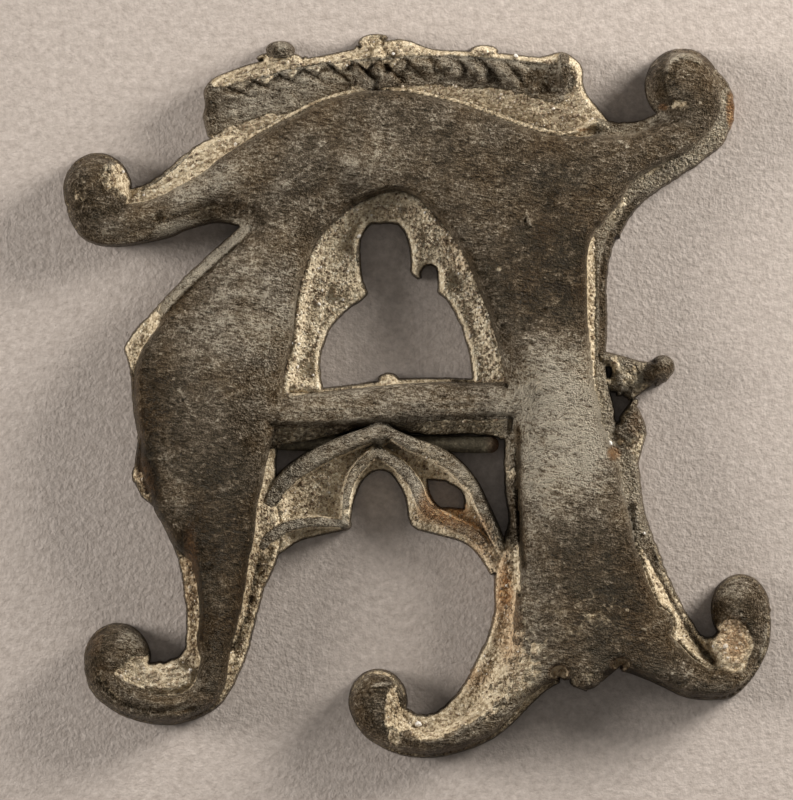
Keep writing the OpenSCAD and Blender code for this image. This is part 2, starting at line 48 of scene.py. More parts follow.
# Columns of a stroke's rows, in mm: a point on one edge, the point across from it on the other edge,
# the ledge's width at the first and at the second edge, and the height of the crown of the face.
bow_rows = [
    [-16.20, 10.50, -17.60, 10.00, 0.30, 0.25, 2.8],
    [-16.10, 10.40, -17.45,  8.90, 0.40, 0.25, 2.9],
    [-15.85, 10.30, -16.60,  7.75, 0.50, 0.30, 3.0],
    [-14.75, 10.30, -14.95,  7.45, 0.80, 0.35, 3.0],
    [-13.35, 10.80, -12.60,  7.85, 1.00, 0.80, 3.0],
    [-12.35, 11.55, -11.35,  8.35, 1.20, 0.70, 3.1],
    [-11.20, 12.50,  -9.95,  8.65, 1.50, 0.95, 3.2],
    [ -9.75, 13.20,  -8.40,  8.40, 1.10, 0.90, 3.3],
    [ -8.20, 13.30,  -6.60,  8.55, 0.40, 0.30, 3.3],
    [ -6.60, 14.15,  -5.10,  8.55, 0.40, 0.20, 3.4],
    [ -4.60, 15.10,  -3.60,  9.08, 0.40, 0.20, 3.4],
    [ -2.75, 15.55,  -2.25,  9.80, 0.40, 0.20, 3.4],
    [ -1.10, 15.60,  -1.10, 10.15, 0.40, 0.15, 3.4],
    [  0.70, 15.30,   0.15,  9.65, 0.40, 0.20, 3.4],
    [  2.65, 14.80,   1.55,  8.20, 0.40, 0.20, 3.4],
    [  4.55, 14.10,   3.40,  7.80, 0.40, 0.20, 3.4],
    [  6.20, 13.55,   5.15,  7.55, 0.40, 0.20, 3.4],
    [  7.70, 13.40,   7.15,  7.30, 0.50, 0.50, 3.4],
    [  8.75, 14.30,   9.75,  7.60, 1.30, 1.20, 3.3],
    [  9.70, 13.80,  11.00,  9.35, 0.90, 1.35, 3.3],
    [ 11.00, 13.80,  12.95, 10.80, 0.70, 1.10, 3.1],
    [ 11.80, 14.10,  14.25, 11.65, 0.60, 1.00, 3.0],
    [ 12.15, 14.25,  15.35, 12.60, 0.60, 1.00, 3.0],
    [ 12.25, 14.40,  15.90, 13.80, 0.70, 0.90, 3.0],
    [ 12.35, 14.60,  15.90, 14.80, 0.70, 0.80, 3.0],
    [ 12.60, 14.90,  15.60, 15.70, 0.60, 0.50, 3.0],
    [ 12.90, 15.10,  14.90, 16.45, 0.40, 0.30, 3.0]]
left_leg_rows = [
    [ -7.95,  9.40,  -1.90, 10.50, 0.20, 0.20, 2.7],
    [ -9.05,  8.35,  -2.95,  9.65, 0.60, 0.20, 3.1],
    [-10.60,  7.00,  -4.65,  8.00, 0.65, 0.20, 3.4],
    [-12.05,  5.60,  -5.45,  6.40, 0.75, 0.20, 3.4],
    [-13.35,  4.20,  -5.85,  4.70, 1.00, 0.20, 3.4],
    [-14.25,  3.25,  -6.00,  3.55, 1.20, 0.20, 3.4],
    [-14.70,  2.30,  -6.15,  2.40, 1.00, 0.20, 3.4],
    [-14.40,  1.30,  -6.45,  1.30, 0.40, 0.20, 3.4],
    [-14.25, -0.60,  -6.65, -0.60, 0.20, 0.20, 3.4],
    [-13.90, -2.60,  -6.95, -2.70, 0.25, 0.50, 3.4],
    [-13.70, -4.10,  -7.00, -4.20, 0.30, 0.75, 3.4],
    [-13.30, -5.50,  -6.85, -5.60, 0.40, 1.20, 3.3],
    [-12.70, -6.60,  -6.65, -6.95, 0.70, 1.50, 3.3],
    [-12.00, -8.20,  -7.00, -8.35, 0.75, 1.45, 3.2],
    [-11.75, -9.70,  -7.60, -9.70, 0.85, 1.05, 3.2],
    [-11.60, -11.20, -8.00, -11.20, 0.80, 0.95, 3.1],
    [-11.65, -12.40, -8.35, -12.60, 0.70, 1.00, 3.0],
    [-11.90, -12.90, -8.70, -13.55, 1.10, 0.80, 3.0],
    [-12.30, -13.10, -9.20, -14.60, 1.50, 0.50, 2.9],
    [-12.50, -13.20, -9.95, -15.60, 1.80, 0.35, 2.8],
    [-12.60, -13.25, -11.05, -16.20, 1.90, 0.30, 2.8],
    [-12.75, -13.25, -12.30, -16.50, 1.80, 0.25, 2.8],
    [-12.90, -13.25, -13.60, -16.40, 1.60, 0.25, 2.8],
    [-13.10, -13.30, -14.85, -16.00, 1.20, 0.25, 2.8],
    [-13.50, -13.30, -15.90, -15.30, 0.70, 0.25, 2.8],
    [-14.00, -13.20, -16.45, -14.60, 0.50, 0.25, 2.8],
    [-14.50, -13.10, -16.68, -13.70, 0.40, 0.25, 2.8]]
right_leg_rows = [
    [-0.30,  10.10, 10.90,   9.40, 0.20, 1.35, 2.7],
    [ 0.90,   8.90, 10.30,   8.40, 0.20, 1.35, 3.0],
    [ 1.55,   8.05,  9.90,   7.60, 0.20, 1.30, 3.4],
    [ 2.30,   6.90,  9.65,   6.50, 0.20, 1.20, 3.4],
    [ 3.00,   5.20,  9.55,   5.10, 0.20, 1.10, 3.4],
    [ 3.60,   3.60,  9.60,   3.60, 0.20, 1.10, 3.4],
    [ 4.05,   2.00,  9.50,   2.00, 0.20, 0.85, 3.4],
    [ 4.30,   0.55,  9.70,   0.50, 0.20, 0.90, 3.4],
    [ 4.45,  -0.60,  9.95,  -0.60, 0.30, 0.90, 3.4],
    [ 4.40,  -1.40, 10.05,  -1.40, 0.45, 0.90, 3.4],
    [ 4.35,  -2.20, 10.80,  -2.30, 0.60, 1.30, 3.4],
    [ 4.30,  -3.40, 11.15,  -3.40, 0.75, 1.20, 3.4],
    [ 4.35,  -4.80, 11.30,  -4.80, 0.75, 1.05, 3.4],
    [ 4.55,  -6.20, 11.60,  -6.20, 0.65, 1.00, 3.4],
    [ 4.15,  -7.60, 12.10,  -7.60, 1.05, 1.20, 3.4],
    [ 3.85,  -9.00, 12.65,  -9.00, 1.30, 1.25, 3.4],
    [ 3.85, -10.40, 13.30, -10.40, 1.30, 1.35, 3.4],
    [ 4.40, -11.80, 14.05, -11.60, 1.30, 1.30, 3.3]]
middle_hook_rows = [
    [ 3.90,  -9.00,  9.15, -12.70, 1.30, 0.20, 3.4],
    [ 3.85, -10.20,  8.40, -13.95, 1.30, 0.30, 3.4],
    [ 3.60, -11.70,  7.25, -14.35, 1.30, 0.35, 3.2],
    [ 3.05, -12.95,  6.30, -14.95, 1.20, 0.45, 3.0],
    [ 2.35, -14.30,  5.15, -16.10, 1.20, 0.45, 2.9],
    [ 1.65, -15.20,  3.90, -17.15, 1.10, 0.35, 2.8],
    [ 1.05, -15.70,  2.40, -17.80, 1.00, 0.30, 2.8],
    [ 0.40, -15.90,  0.75, -18.15, 1.00, 0.30, 2.8],
    [-0.15, -15.80, -0.85, -18.00, 0.80, 0.30, 2.8],
    [-0.60, -15.45, -2.25, -17.35, 0.50, 0.25, 2.9],
    [-1.00, -15.30, -3.00, -16.60, 0.40, 0.25, 2.9],
    [-1.40, -15.20, -3.40, -15.70, 0.40, 0.25, 2.9]]
right_hook_rows = [
    [12.60,  -8.90,  7.90, -12.20, 1.20, 0.20, 3.4],
    [13.35, -10.50,  8.75, -14.10, 1.40, 0.30, 3.3],
    [13.90, -11.40, 10.05, -13.80, 1.30, 0.25, 3.2],
    [14.30, -11.95, 11.15, -14.10, 1.25, 0.25, 3.1],
    [14.50, -12.05, 12.30, -14.60, 1.30, 0.25, 3.0],
    [14.65, -12.00, 13.50, -15.15, 1.50, 0.25, 2.9],
    [14.75, -12.00, 14.80, -15.25, 1.70, 0.25, 2.8],
    [14.85, -11.95, 15.90, -15.05, 1.70, 0.25, 2.7],
    [14.95, -11.85, 16.90, -14.05, 1.40, 0.30, 2.6],
    [15.05, -11.70, 17.60, -12.70, 1.10, 0.30, 2.6],
    [15.30, -11.30, 17.75, -11.60, 0.80, 0.30, 2.6],
    [15.60, -10.90, 17.68, -10.60, 0.50, 0.30, 2.6]]
# Columns of an oval: its middle, its half width and its half height.
curl_knobs = [
    [-16.00, 10.30, 1.75, 1.90], [13.28, 15.53, 1.90, 1.90], [-15.00, -13.20, 1.70, 1.85],
    [-1.95, -15.30, 1.50, 1.65], [16.20, -10.70, 1.50, 1.80]]
fork_knobs = [
    [8.30, -12.10, 1.70, 1.30], [8.45, -13.80, 0.95, 0.95]]
left_bump = [-13.83, -3.97, 0.52, 0.75]
# Middle lines of the thin raised rims on the ledges beside the legs.
right_leg_rim = [
    [10.95, -5.40], [11.30, -7.00], [12.10, -9.30], [13.20, -11.10], [14.30, -12.40], [14.90, -13.20]]
left_leg_rim = [
    [-6.95, -7.80], [-7.55, -9.20], [-7.95, -10.80], [-8.30, -12.40], [-9.00, -14.00]]
LEDGE_Z = 1.5
CAMBER = 0.45
FINE_CELL = 0.082
DEEP_SAND = 0.62
# Distances are measured up to REACH. A wall leans out by DRAFT and is rough by WALL_ROUGH. A front is no
# lower than LEAST_Z and levels off from LEVEL_FROM below the top of the CAD model's box.
REACH = 3.2
DRAFT, WALL_ROUGH = 0.1, 0.025
LEAST_Z = 0.3
LEVEL_FROM, LEVEL_OVER = 0.25, 0.24
# The most that each mark may be at the top of a wall and on the wall, which is dark and nearly bare.
RIM_MARKS = {"sand": 0.56, "tone": 0.6, "rust": 1.0}
WALL_MARKS = {"sand": 0.38, "tone": 0.42, "rust": 1.0}


def eased(rows, steps=3):
    """Rows with steps - 1 more between each two. Between q and r, with p before and s after, they lie on the
    cubic 0.5 (2q + (r - p) t + (2p - 5q + 4r - s) t^2 + (3q - p - 3r + s) t^3), t from 0 to 1."""
    rows = np.array(rows, float)
    before = np.vstack([rows[:1], rows[:-2]])
    after = np.vstack([rows[2:], rows[-1:]])
    p, q, r, s = (part[:, None, :] for part in (before, rows[:-1], rows[1:], after))
    t = (np.arange(steps) / steps)[None, :, None]
    between = 2 * q + (r - p) * t + (2 * p - 5 * q + 4 * r - s) * t**2 + (3 * q - p - 3 * r + s) * t**3
    return np.vstack([(0.5 * between).reshape(-1, rows.shape[1]), rows[-1:]])


def band(rows):
    """The two edge lines of a stroke or plate."""
    rows = eased(rows)
    return rows[:, 0:2], rows[:, 2:4]


def face_band(rows):
    """The two edge lines of a stroke's face: each edge moved across the stroke by its ledge's width."""
    rows = eased(rows)
    a, b = rows[:, 0:2], rows[:, 2:4]
    across = (b - a) / np.linalg.norm(b - a, axis=1, keepdims=True)
    return a + across * rows[:, 4:5], b - across * rows[:, 5:6]


def oval(place, share=1.0, count=24):
    """The left and right side of an ellipse from its top down: x = cx -+ rx sin t, y = cy + ry cos t."""
    t = np.linspace(0.0, np.pi, count)
    side, high = place[2] * share * np.sin(t), place[1] + place[3] * share * np.cos(t)
    return np.c_[place[0] - side, high], np.c_[place[0] + side, high]


def lattice(bands, cell, margin=0.5):
    """Square lattice of points over the plan of the bands."""
    points = np.vstack([line for pair in bands for line in pair])
    low, high = points.min(0) - margin, points.max(0) + margin
    return np.meshgrid(np.arange(low[0], high[0], cell), np.arange(low[1], high[1], cell))


def window(x, y, points, margin):
    """The rows and columns of the lattice that hold the points, with a margin round them."""
    cell = x[0, 1] - x[0, 0]
    first = ((points.min(0) - margin - (x[0, 0], y[0, 0])) / cell).astype(int)
    last = ((points.max(0) + margin - (x[0, 0], y[0, 0])) / cell).astype(int) + 2
    (c0, r0), (c1, r1) = np.maximum(first, 0), np.maximum(last, 0)
    return slice(r0, r1), slice(c0, c1)


def covered(x, y, pair):
    """The lattice points inside a band: those inside one of the triangles between its two lines."""
    a, b = pair
    inside = np.zeros(x.shape, bool)
    for i in range(len(a) - 1):
        for corners in ((a[i], a[i + 1], b[i]), (a[i + 1], b[i + 1], b[i])):
            corners = np.array(corners)
            spot = window(x, y, corners, 0.0)
            side = np.array([
                (q[0] - p[0]) * (y[spot] - p[1]) - (q[1] - p[1]) * (x[spot] - p[0])
                for p, q in zip(corners, np.roll(corners, -1, axis=0))])
            inside[spot] |= np.all(side >= 0, axis=0) | np.all(side <= 0, axis=0)
    return inside


def gap_to_line(x, y, line, reach=REACH, skip=None):
    """Distance from each lattice point to a line of straight pieces, counted up to reach. Pieces whose middle
    lies on a lattice point of skip are left out."""
    nearest = np.full(x.shape, reach)
    cell = x[0, 1] - x[0, 0]
    for p, q in zip(line[:-1], line[1:]):
        run = q - p
        if run @ run < 1e-9:
            continue
        if skip is not None:
            column, row = np.rint(((p + q) / 2 - (x[0, 0], y[0, 0])) / cell).astype(int)
            if 0 <= row < x.shape[0] and 0 <= column < x.shape[1] and skip[row, column]:
                continue
        spot = window(x, y, np.array([p, q]), reach)
        t = np.clip(((x[spot] - p[0]) * run[0] + (y[spot] - p[1]) * run[1]) / (run @ run), 0, 1)
        gap = np.hypot(x[spot] - p[0] - t * run[0], y[spot] - p[1] - t * run[1])
        nearest[spot] = np.minimum(nearest[spot], gap)
    return nearest


def depth(x, y, bands, reach=REACH):
    """How far each lattice point lies inside the outline round all the bands, less than 0 outside it: the
    distance to the nearest piece of a band's edge that no other band covers."""
    areas = [covered(x, y, pair) for pair in bands]
    count = np.sum(areas, axis=0)
    nearest = np.full(x.shape, reach)
    for pair, area in zip(bands, areas):
        loop = np.vstack([pair[0], pair[1][::-1], pair[0][:1]])
        nearest = np.minimum(nearest, gap_to_line(x, y, loop, reach, skip=(count - area) > 0))
    return np.where(count > 0, nearest, -nearest)


def mottle(x, y, size, seed, layers=2):
    """Smooth random heights of mean 0, about -1 to 1: random values on a turned square lattice of the given
    size, blended by 3t^2 - 2t^3 between the four nearest, with finer layers of half the size and height."""
    total, share = 0.0, 0.0
    for layer in range(layers):
        values = np.random.default_rng(seed + layer).uniform(-1, 1, (256, 256))
        turn = 0.6 + 1.1 * layer + 0.37 * seed
        step = size / 2**layer
        u = (x * np.cos(turn) + y * np.sin(turn)) / step + 117.3
        v = (y * np.cos(turn) - x * np.sin(turn)) / step + 131.7
        i, j = np.floor(u).astype(int), np.floor(v).astype(int)
        s, t = u - i, v - j
        s, t = s * s * (3 - 2 * s), t * t * (3 - 2 * t)
        i, j, k, l = i % 256, j % 256, (i + 1) % 256, (j + 1) % 256
        low = values[i, j] * (1 - s) + values[k, j] * s
        high = values[i, l] * (1 - s) + values[k, l] * s
        total = total + (low * (1 - t) + high * t) / 2**layer
        share += 0.5**layer
    return 1.4 * total / share


def rounded(share):
    """Quarter circle: 0 at 0, rising steeply, and level at 1."""
    return np.sqrt(1 - (1 - np.clip(share, 0, 1)) ** 2)


def grow(value, start, width):
    """0 up to the start, straight up to 1 over the width, then 1. A width below 0 runs the other way."""
    return np.clip((value - start) / width, 0, 1)


def bell(gap, width, power=2):
    """1 where the gap is 0, falling off to both sides as exp(-(gap / width)^power)."""
    return np.exp(-((gap / width) ** power))


def from_middle(x, y, place):
    """0 in the middle of an oval and 1 on its edge: the sum of (dx / rx)^2 and (dy / ry)^2."""
    return ((x - place[0]) / place[2]) ** 2 + ((y - place[1]) / place[3]) ** 2


def spots(x, y, table):
    """Sum of soft oval spots. Columns: middle, half width, half height, turn in degrees, and strength, which
    falls off from the middle as exp(-(r^2)^2)."""
    total = np.zeros(x.shape)
    for cx, cy, rx, ry, turn, strength in table:
        c, s = np.cos(np.radians(turn)), np.sin(np.radians(turn))
        u, v = ((x - cx) * c + (y - cy) * s) / rx, ((y - cy) * c - (x - cx) * s) / ry
        total += strength * np.exp(-np.minimum((u * u + v * v) ** 2, 50.0))
    return total


def scratches(x, y, table):
    """Sum of straight grooves and ridges. Columns: both ends, width and strength, which falls off to the
    sides as exp(-(gap / width)^2)."""
    total = np.zeros(x.shape)
    for x0, y0, x1, y1, width, strength in table:
        gap = gap_to_line(x, y, np.array([[x0, y0], [x1, y1]]), reach=3 * width)
        total += strength * bell(gap, width) * (gap < 3 * width)
    return total


def flat_fill(points, edges):
    """Triangles over the plane inside closed loops of edges, turned to face down."""
    sheet = bmesh.new()
    corners = [sheet.verts.new((px, py, 0.0)) for px, py in points]
    loops = [sheet.edges.new((corners[a], corners[b])) for a, b in edges]
    sheet.verts.index_update()
    bmesh.ops.triangle_fill(sheet, use_beauty=True, use_dissolve=False, edges=loops)
    tri = np.array([[v.index for v in face.verts] for face in sheet.faces])
    sheet.free()
    p, q, r = (points[tri[:, k]] for k in range(3))
    up = (q - p)[:, 0] * (r - p)[:, 1] - (q - p)[:, 1] * (r - p)[:, 0] > 0
    tri[up] = tri[up][:, ::-1]
    return tri


def cells_inside(out):
    """The lattice cells inside the outline by more than DRAFT. Where two of them touch at a corner only, the
    cells beside them are filled too."""
    filled = (out[:-1, :-1] + out[1:, :-1] + out[:-1, 1:] + out[1:, 1:]) / 4 > DRAFT
    for _ in range(4):
        a, b, c, d = filled[:-1, :-1], filled[:-1, 1:], filled[1:, :-1], filled[1:, 1:]
        lone = (a & d & ~b & ~c) | (b & c & ~a & ~d)
        filled[:-1, :-1] |= lone
        filled[:-1, 1:] |= lone
        filled[1:, :-1] |= lone
    return filled


def open_edges(faces):
    """The edges of four-sided faces that belong to one face only."""
    edges = np.vstack([faces[:, [0, 1]], faces[:, [1, 2]], faces[:, [2, 3]], faces[:, [3, 0]]])
    key = edges.min(1) * (faces.max() + 1) + edges.max(1)
    _, first, times = np.unique(key, return_index=True, return_counts=True)
    return edges[first[times == 1]]


def solid(name, points, faces, finish):
    """A piece in the scene from its points in mm, its faces as lists of point numbers, and its material."""
    mesh = bpy.data.meshes.new(name)
    mesh.from_pydata(points * 0.001, [], faces)
    mesh.materials.append(finish)
    piece = bpy.data.objects.new(name, mesh)
    bpy.context.scene.collection.objects.link(piece)
    return piece


# The points of all the fronts that lie deep in sand, where single grains are set later.
sand_beds = []


def relief(name, x, y, out, top, marks, finish):
    """A closed solid with a modelled front: the lattice cells inside the outline lifted to the height top, a
    rough wall that leans out by DRAFT on its way down, and a flat back. The cells at the outline are drawn to
    it along the slope of out. From a height e on, the front levels off as e + w tanh((top - e) / w), so that
    it stays inside the CAD model's box. marks are values from 0 to 1 that the finish reads, by name."""
    cell = x[0, 1] - x[0, 0]
    filled = cells_inside(out)
    used = np.zeros(x.shape, bool)
    ends = (slice(None, -1), slice(1, None))
    for rows in ends:
        for columns in ends:
            used[rows, columns] |= filled
    number = np.full(x.shape, -1)
    number[used] = np.arange(used.sum())
    r, c = np.nonzero(filled)
    front = np.c_[number[r, c], number[r, c + 1], number[r + 1, c + 1], number[r + 1, c]]
    rim = open_edges(front)
    at_rim, rim_number = np.unique(rim, return_inverse=True)
    rim_number = rim_number.reshape(rim.shape)

    slope_y, slope_x = np.gradient(out, cell)
    inward = np.c_[slope_x[used], slope_y[used]][at_rim]
    inward /= np.maximum(np.linalg.norm(inward, axis=1, keepdims=True), 0.3)
    low, high = np.array(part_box("casting")) * 1000
    level = high[2] - LEVEL_FROM
    top = np.where(top > level, level + LEVEL_OVER * np.tanh((top - level) / LEVEL_OVER), top)
    points = np.c_[x[used], y[used], np.maximum(top[used], LEAST_Z)]
    points[at_rim, :2] += inward * np.clip(DRAFT - out[used][at_rim], -cell, cell)[:, None]

    # The wall: rings of points under the rim, each at a share of its height.
    rings = [points[at_rim]]
    for share in (0.6, 0.25, 0.0):
        ring = points[at_rim].copy()
        rough = WALL_ROUGH * (share > 0) * mottle(ring[:, 0], ring[:, 1] + 3 * share, 0.25, 5)
        ring[:, :2] -= inward * (DRAFT * (1 - share) + rough)[:, None]
        ring[:, 2] *= share
        rings.append(ring)
    count, around = len(points), len(at_rim)
    starts = [at_rim] + [count + k * around + np.arange(around) for k in range(3)]
    left, right = rim_number.T
    wall = np.vstack([
        np.c_[upper[right], upper[left], lower[left], lower[right]]
        for upper, lower in zip(starts[:-1], starts[1:])])
    back = flat_fill(rings[0][:, :2], rim_number) + count + 2 * around

    every = np.clip(np.vstack([points] + rings[1:]), low, high)
    piece = solid(name, every, front.tolist() + wall.tolist() + back.tolist(), finish)
    mesh = piece.data
    smooth = np.ones(len(mesh.polygons), bool)
    smooth[len(front) + len(wall):] = False
    mesh.polygons.foreach_set("use_smooth", smooth)
    for mark, values in marks.items():
        share = np.clip(values[used], 0, 1)
        share[at_rim] = np.minimum(share[at_rim], RIM_MARKS[mark])
        share = np.concatenate([share] + [np.minimum(share[at_rim], WALL_MARKS[mark])] * 3)
        mesh.attributes.new(mark, "FLOAT", "POINT").data.foreach_set("value", share.astype(np.float32))
    mesh.validate()
    bed = used & (marks["sand"] > DEEP_SAND) & (out > 0.3)
    sand_beds.append(np.c_[x[bed], y[bed], top[bed]])
    return piece


class Level:
    """An output of a node. Sums, differences and products of levels and numbers add Math nodes."""

    def __init__(self, finish, socket):
        self.finish, self.socket = finish, socket

    def math(self, operation, first, second=0.0):
        return self.finish.node("Math", {"operation": operation}, {0: first, 1: second})

    def __add__(self, other):
        return self.math("ADD", self, other)

    def __sub__(self, other):
        return self.math("SUBTRACT", self, other)

    def __rsub__(self, other):
        return self.math("SUBTRACT", other, self)

    def __mul__(self, other):
        return self.math("MULTIPLY", self, other)

    __radd__ = __add__

    def clipped(self):
        """The level kept between 0 and 1."""
        return self.finish.node("Clamp", {}, {0: self})

    def crossing(self, middle, width):
        """1 where the level is at the middle, falling to 0 at width above or below it."""
        gap = self.finish.node("Math", {"operation": "ABSOLUTE"}, {0: self - middle})
        return (1.0 - gap * (1 / width)).clipped()


class Finish:
    """A material and its nodes. node() adds any node: its settings first, then what its sockets hold."""

    def __init__(self, name):
        self.material = bpy.data.materials.new(name)
        self.material.use_nodes = True
        self.tree = self.material.node_tree
        self.tree.nodes.clear()
        place = self.node("TexCoord", {}, {}, "Object")
        self.place = self.node("VectorMath", {"operation": "SCALE"}, {0: place, "Scale": 1000.0})

    def node(self, kind, settings, sockets, output=0):
        made = self.tree.nodes.new("ShaderNode" + kind)
        for name, value in settings.items():
            if name == "stops":
                ramp = made.color_ramp.elements
                while len(ramp) < len(value):
                    ramp.new(1.0)
                for stop, (at, colour) in zip(ramp, value):
                    stop.position, stop.color = at, colour
            else:
                setattr(made, name, value)
        for name, value in sockets.items():
            if isinstance(value, Level):
                self.tree.links.new(value.socket, made.inputs[name])
            else:
                made.inputs[name].default_value = value
        return Level(self, made.outputs[output]) if made.outputs else None

    def mark(self, name):
        """The value that each point of the mesh holds under the name."""
        return self.node("Attribute", {"attribute_name": name}, {}, "Fac")

    def grain(self, size, detail=2.0, roughness=0.55):
        """Noise from about 0.25 to 0.75 with lumps of the given size in mm."""
        return self.node("TexNoise", {}, {
            "Vector": self.place, "Scale": 1.0 / size, "Detail": detail, "Roughness": roughness})

    def streaks(self, size, stretch, turn):
        """Noise drawn out by stretch along a line at turn degrees to X, size wide across it."""
        turned = self.node("Mapping", {"vector_type": "TEXTURE"}, {
            "Vector": self.place, "Rotation": (0.0, 0.0, np.radians(turn)), "Scale": (stretch, 1.0, 1.0)})
        return self.node("TexNoise", {}, {
            "Vector": turned, "Scale": 1.0 / size, "Detail": 3.0, "Roughness": 0.6})

    def grains(self, size):
        """Packed round grains of the given size: how high each stands, 0 to 1, and a random shade each."""
        cells = {"Vector": self.place, "Scale": 1.0 / size}
        gap = self.node("TexVoronoi", {}, cells, "Distance")
        return (1.0 - gap * 1.3).clipped(), self.node(
            "SeparateColor", {}, {0: self.node("TexVoronoi", {}, cells, "Color")}, 0)

    def dots(self, spacing, radius):
        """1 inside small round dots, one near each random centre, of random sizes up to the radius."""
        rise, share = self.grains(spacing)
        return ((rise - 1.0 + share * (1.3 * radius / spacing)) * (spacing / 0.026)).clipped()

    def ramp(self, level, *stops):
        """Colours by level, straight between stops of a place from 0 to 1 and a colour."""
        return self.node("ValToRGB", {"stops": stops}, {"Fac": level})

    def mixed(self, share, a, b):
        """Colour a where the share is 0, b where it is 1, and a blend between."""
        return self.node("Mix", {"data_type": "RGBA"}, {0: share, 6: a, 7: b}, 2)

    def surface(self, **sockets):
        """The surface itself: sockets by name, with an underscore for each space, and the material."""
        shader = self.node(
            "BsdfPrincipled", {}, {name.replace("_", " "): value for name, value in sockets.items()})
        self.node("OutputMaterial", {}, {"Surface": shader})
        return self.material


def shade(red, green, blue):
    """A colour as it looks on a screen, 0 to 255, as the linear values that a socket takes."""
    s = np.array([red, green, blue]) / 255
    return (*np.where(s <= 0.04045, s / 12.92, ((s + 0.055) / 1.055) ** 2.4).tolist(), 1.0)


def cast_pewter():
    """Dark rubbed pewter under hard sand. The marks are sand, tone (black to rubbed grey, and in places
    painted sheen, highlights and shade) and rust.
    """
    f = Finish("cast_pewter")
    fine, speck, cloud, patch = f.grain(0.08, 1.0), f.grain(0.17, 3.0), f.grain(0.8, 4.0), f.grain(2.6, 3.0)
    streak, flow, dots = f.streaks(0.12, 4.0, -12), f.streaks(0.30, 3.5, -6), f.dots(0.75, 0.12)
    creases = flow.crossing(0.5, 0.035) + speck.crossing(0.56, 0.03) * 0.6
    flecks = ((cloud * 0.5 + speck * 0.5 - 0.535) * 12.0).clipped()
    wear = (speck - 0.5) * 0.6 + (streak - 0.5) * 1.1 + (fine - 0.5) * 0.9 + (cloud - 0.5) * 0.25
    tone = f.mark("tone") + wear * (f.mark("tone") * 0.9 + 0.6)
    tone = tone + flecks * 0.17 + dots * 0.35 - creases * 0.1 + 0.05
    grey = f.ramp(
        tone,
        (0.0, shade(24, 18, 9)), (0.25, shade(59, 48, 32)), (0.5, shade(109, 95, 78)),
        (0.75, shade(163, 150, 130)), (1.0, shade(207, 194, 172)))
    brown = f.ramp(
        tone,
        (0.0, shade(28, 17, 5)), (0.25, shade(66, 48, 26)), (0.5, shade(113, 95, 72)),
        (0.75, shade(163, 147, 123)), (1.0, shade(208, 193, 168)))
    metal = f.mixed(((patch - 0.42) * 5.0).clipped(), grey, brown)
    rise, shade_of_grain = f.grains(0.16)
    lumps = shade_of_grain * 0.5 + rise * 0.3 + (cloud - 0.5) * 0.15 + (fine - 0.5) * 0.6
    lumps = lumps + (f.mark("tone") - 0.4) * 0.45 + 0.06
    sand = f.ramp(
        lumps,
        (0.05, shade(92, 73, 51)), (0.3, shade(160, 141, 112)), (0.55, shade(200, 182, 152)),
        (0.8, shade(222, 205, 174)), (1.0, shade(238, 226, 200)))
    cover = ((f.mark("sand") + (speck - 0.5) * 0.7 + (cloud - 0.5) * 0.3 - 0.5) * 4.0 + 0.5).clipped()
    colour = f.mixed(cover, metal, sand)
    red = f.ramp(lumps, (0.1, shade(92, 60, 36)), (0.5, shade(158, 112, 70)), (0.9, shade(206, 166, 118)))
    colour = f.mixed((f.mark("rust") * (speck * 1.2 + cloud * 0.9) - 0.25).clipped(), colour, red)
    rough = 0.44 + cover * 0.5 + (speck - 0.5) * 0.5
    bare = speck * 4.0 + streak * 2.4 + fine * 2.6 + cloud * 1.5 + dots * 0.5 - creases * 0.5
    bare = bare * (f.mark("tone") * 0.8 + 0.6)
    crust = rise * 0.4 + speck * 0.6 + fine * 0.5
    height = bare * (1.0 - cover) + crust * cover
    bump = f.node("Bump", {}, {"Strength": 1.0, "Distance": 0.00014, "Height": height})
    return f.surface(
        Base_Color=colour, Roughness=rough.clipped(), Specular_IOR_Level=0.3,
        Specular_Tint=shade(255, 240, 214), Normal=bump)


pewter = cast_pewter()

# The crossbar belongs to the same cast: a cambered bar with brush marks along it, a thin sandy ledge with one
# bump on its upper side, and under it a slope that falls to the tracery.
crossbar_rows = [
    [-7.30, 0.35, -7.30, -1.60, 0.30, 0.15, 2.9],
    [-4.60, 0.45, -4.60, -1.60, 0.30, 0.15, 2.9],
    [-2.50, 0.70, -2.50, -1.50, 0.30, 0.15, 2.9],
    [-0.85, 0.90, -0.85, -1.40, 0.30, 0.15, 2.9],
    [ 1.50, 0.95,  1.50, -1.30, 0.30, 0.15, 2.9],
    [ 2.70, 0.90,  2.70, -1.25, 0.30, 0.15, 2.9],
    [ 5.00, 1.00,  5.00, -1.20, 0.30, 0.15, 2.9]]
# Columns of the slope's rows: x, then y at its top and at its foot.
slope_rows = [
    [-7.30, -1.30, -2.65],
    [-5.20, -1.30, -2.30],
    [-3.40, -1.25, -1.85],
    [-2.40, -1.20, -1.60],
    [-1.30, -1.15, -1.75],
    [ 0.90, -1.05, -2.05],
    [ 2.75, -0.95, -1.95],
    [ 4.60, -0.95, -2.25]]
crossbar_bump = [-1.45, 0.65, 0.65, 0.55]
BUMP_Z = 1.955
SLOPE_TOP_Z, SLOPE_FOOT_Z = 2.45, 1.35
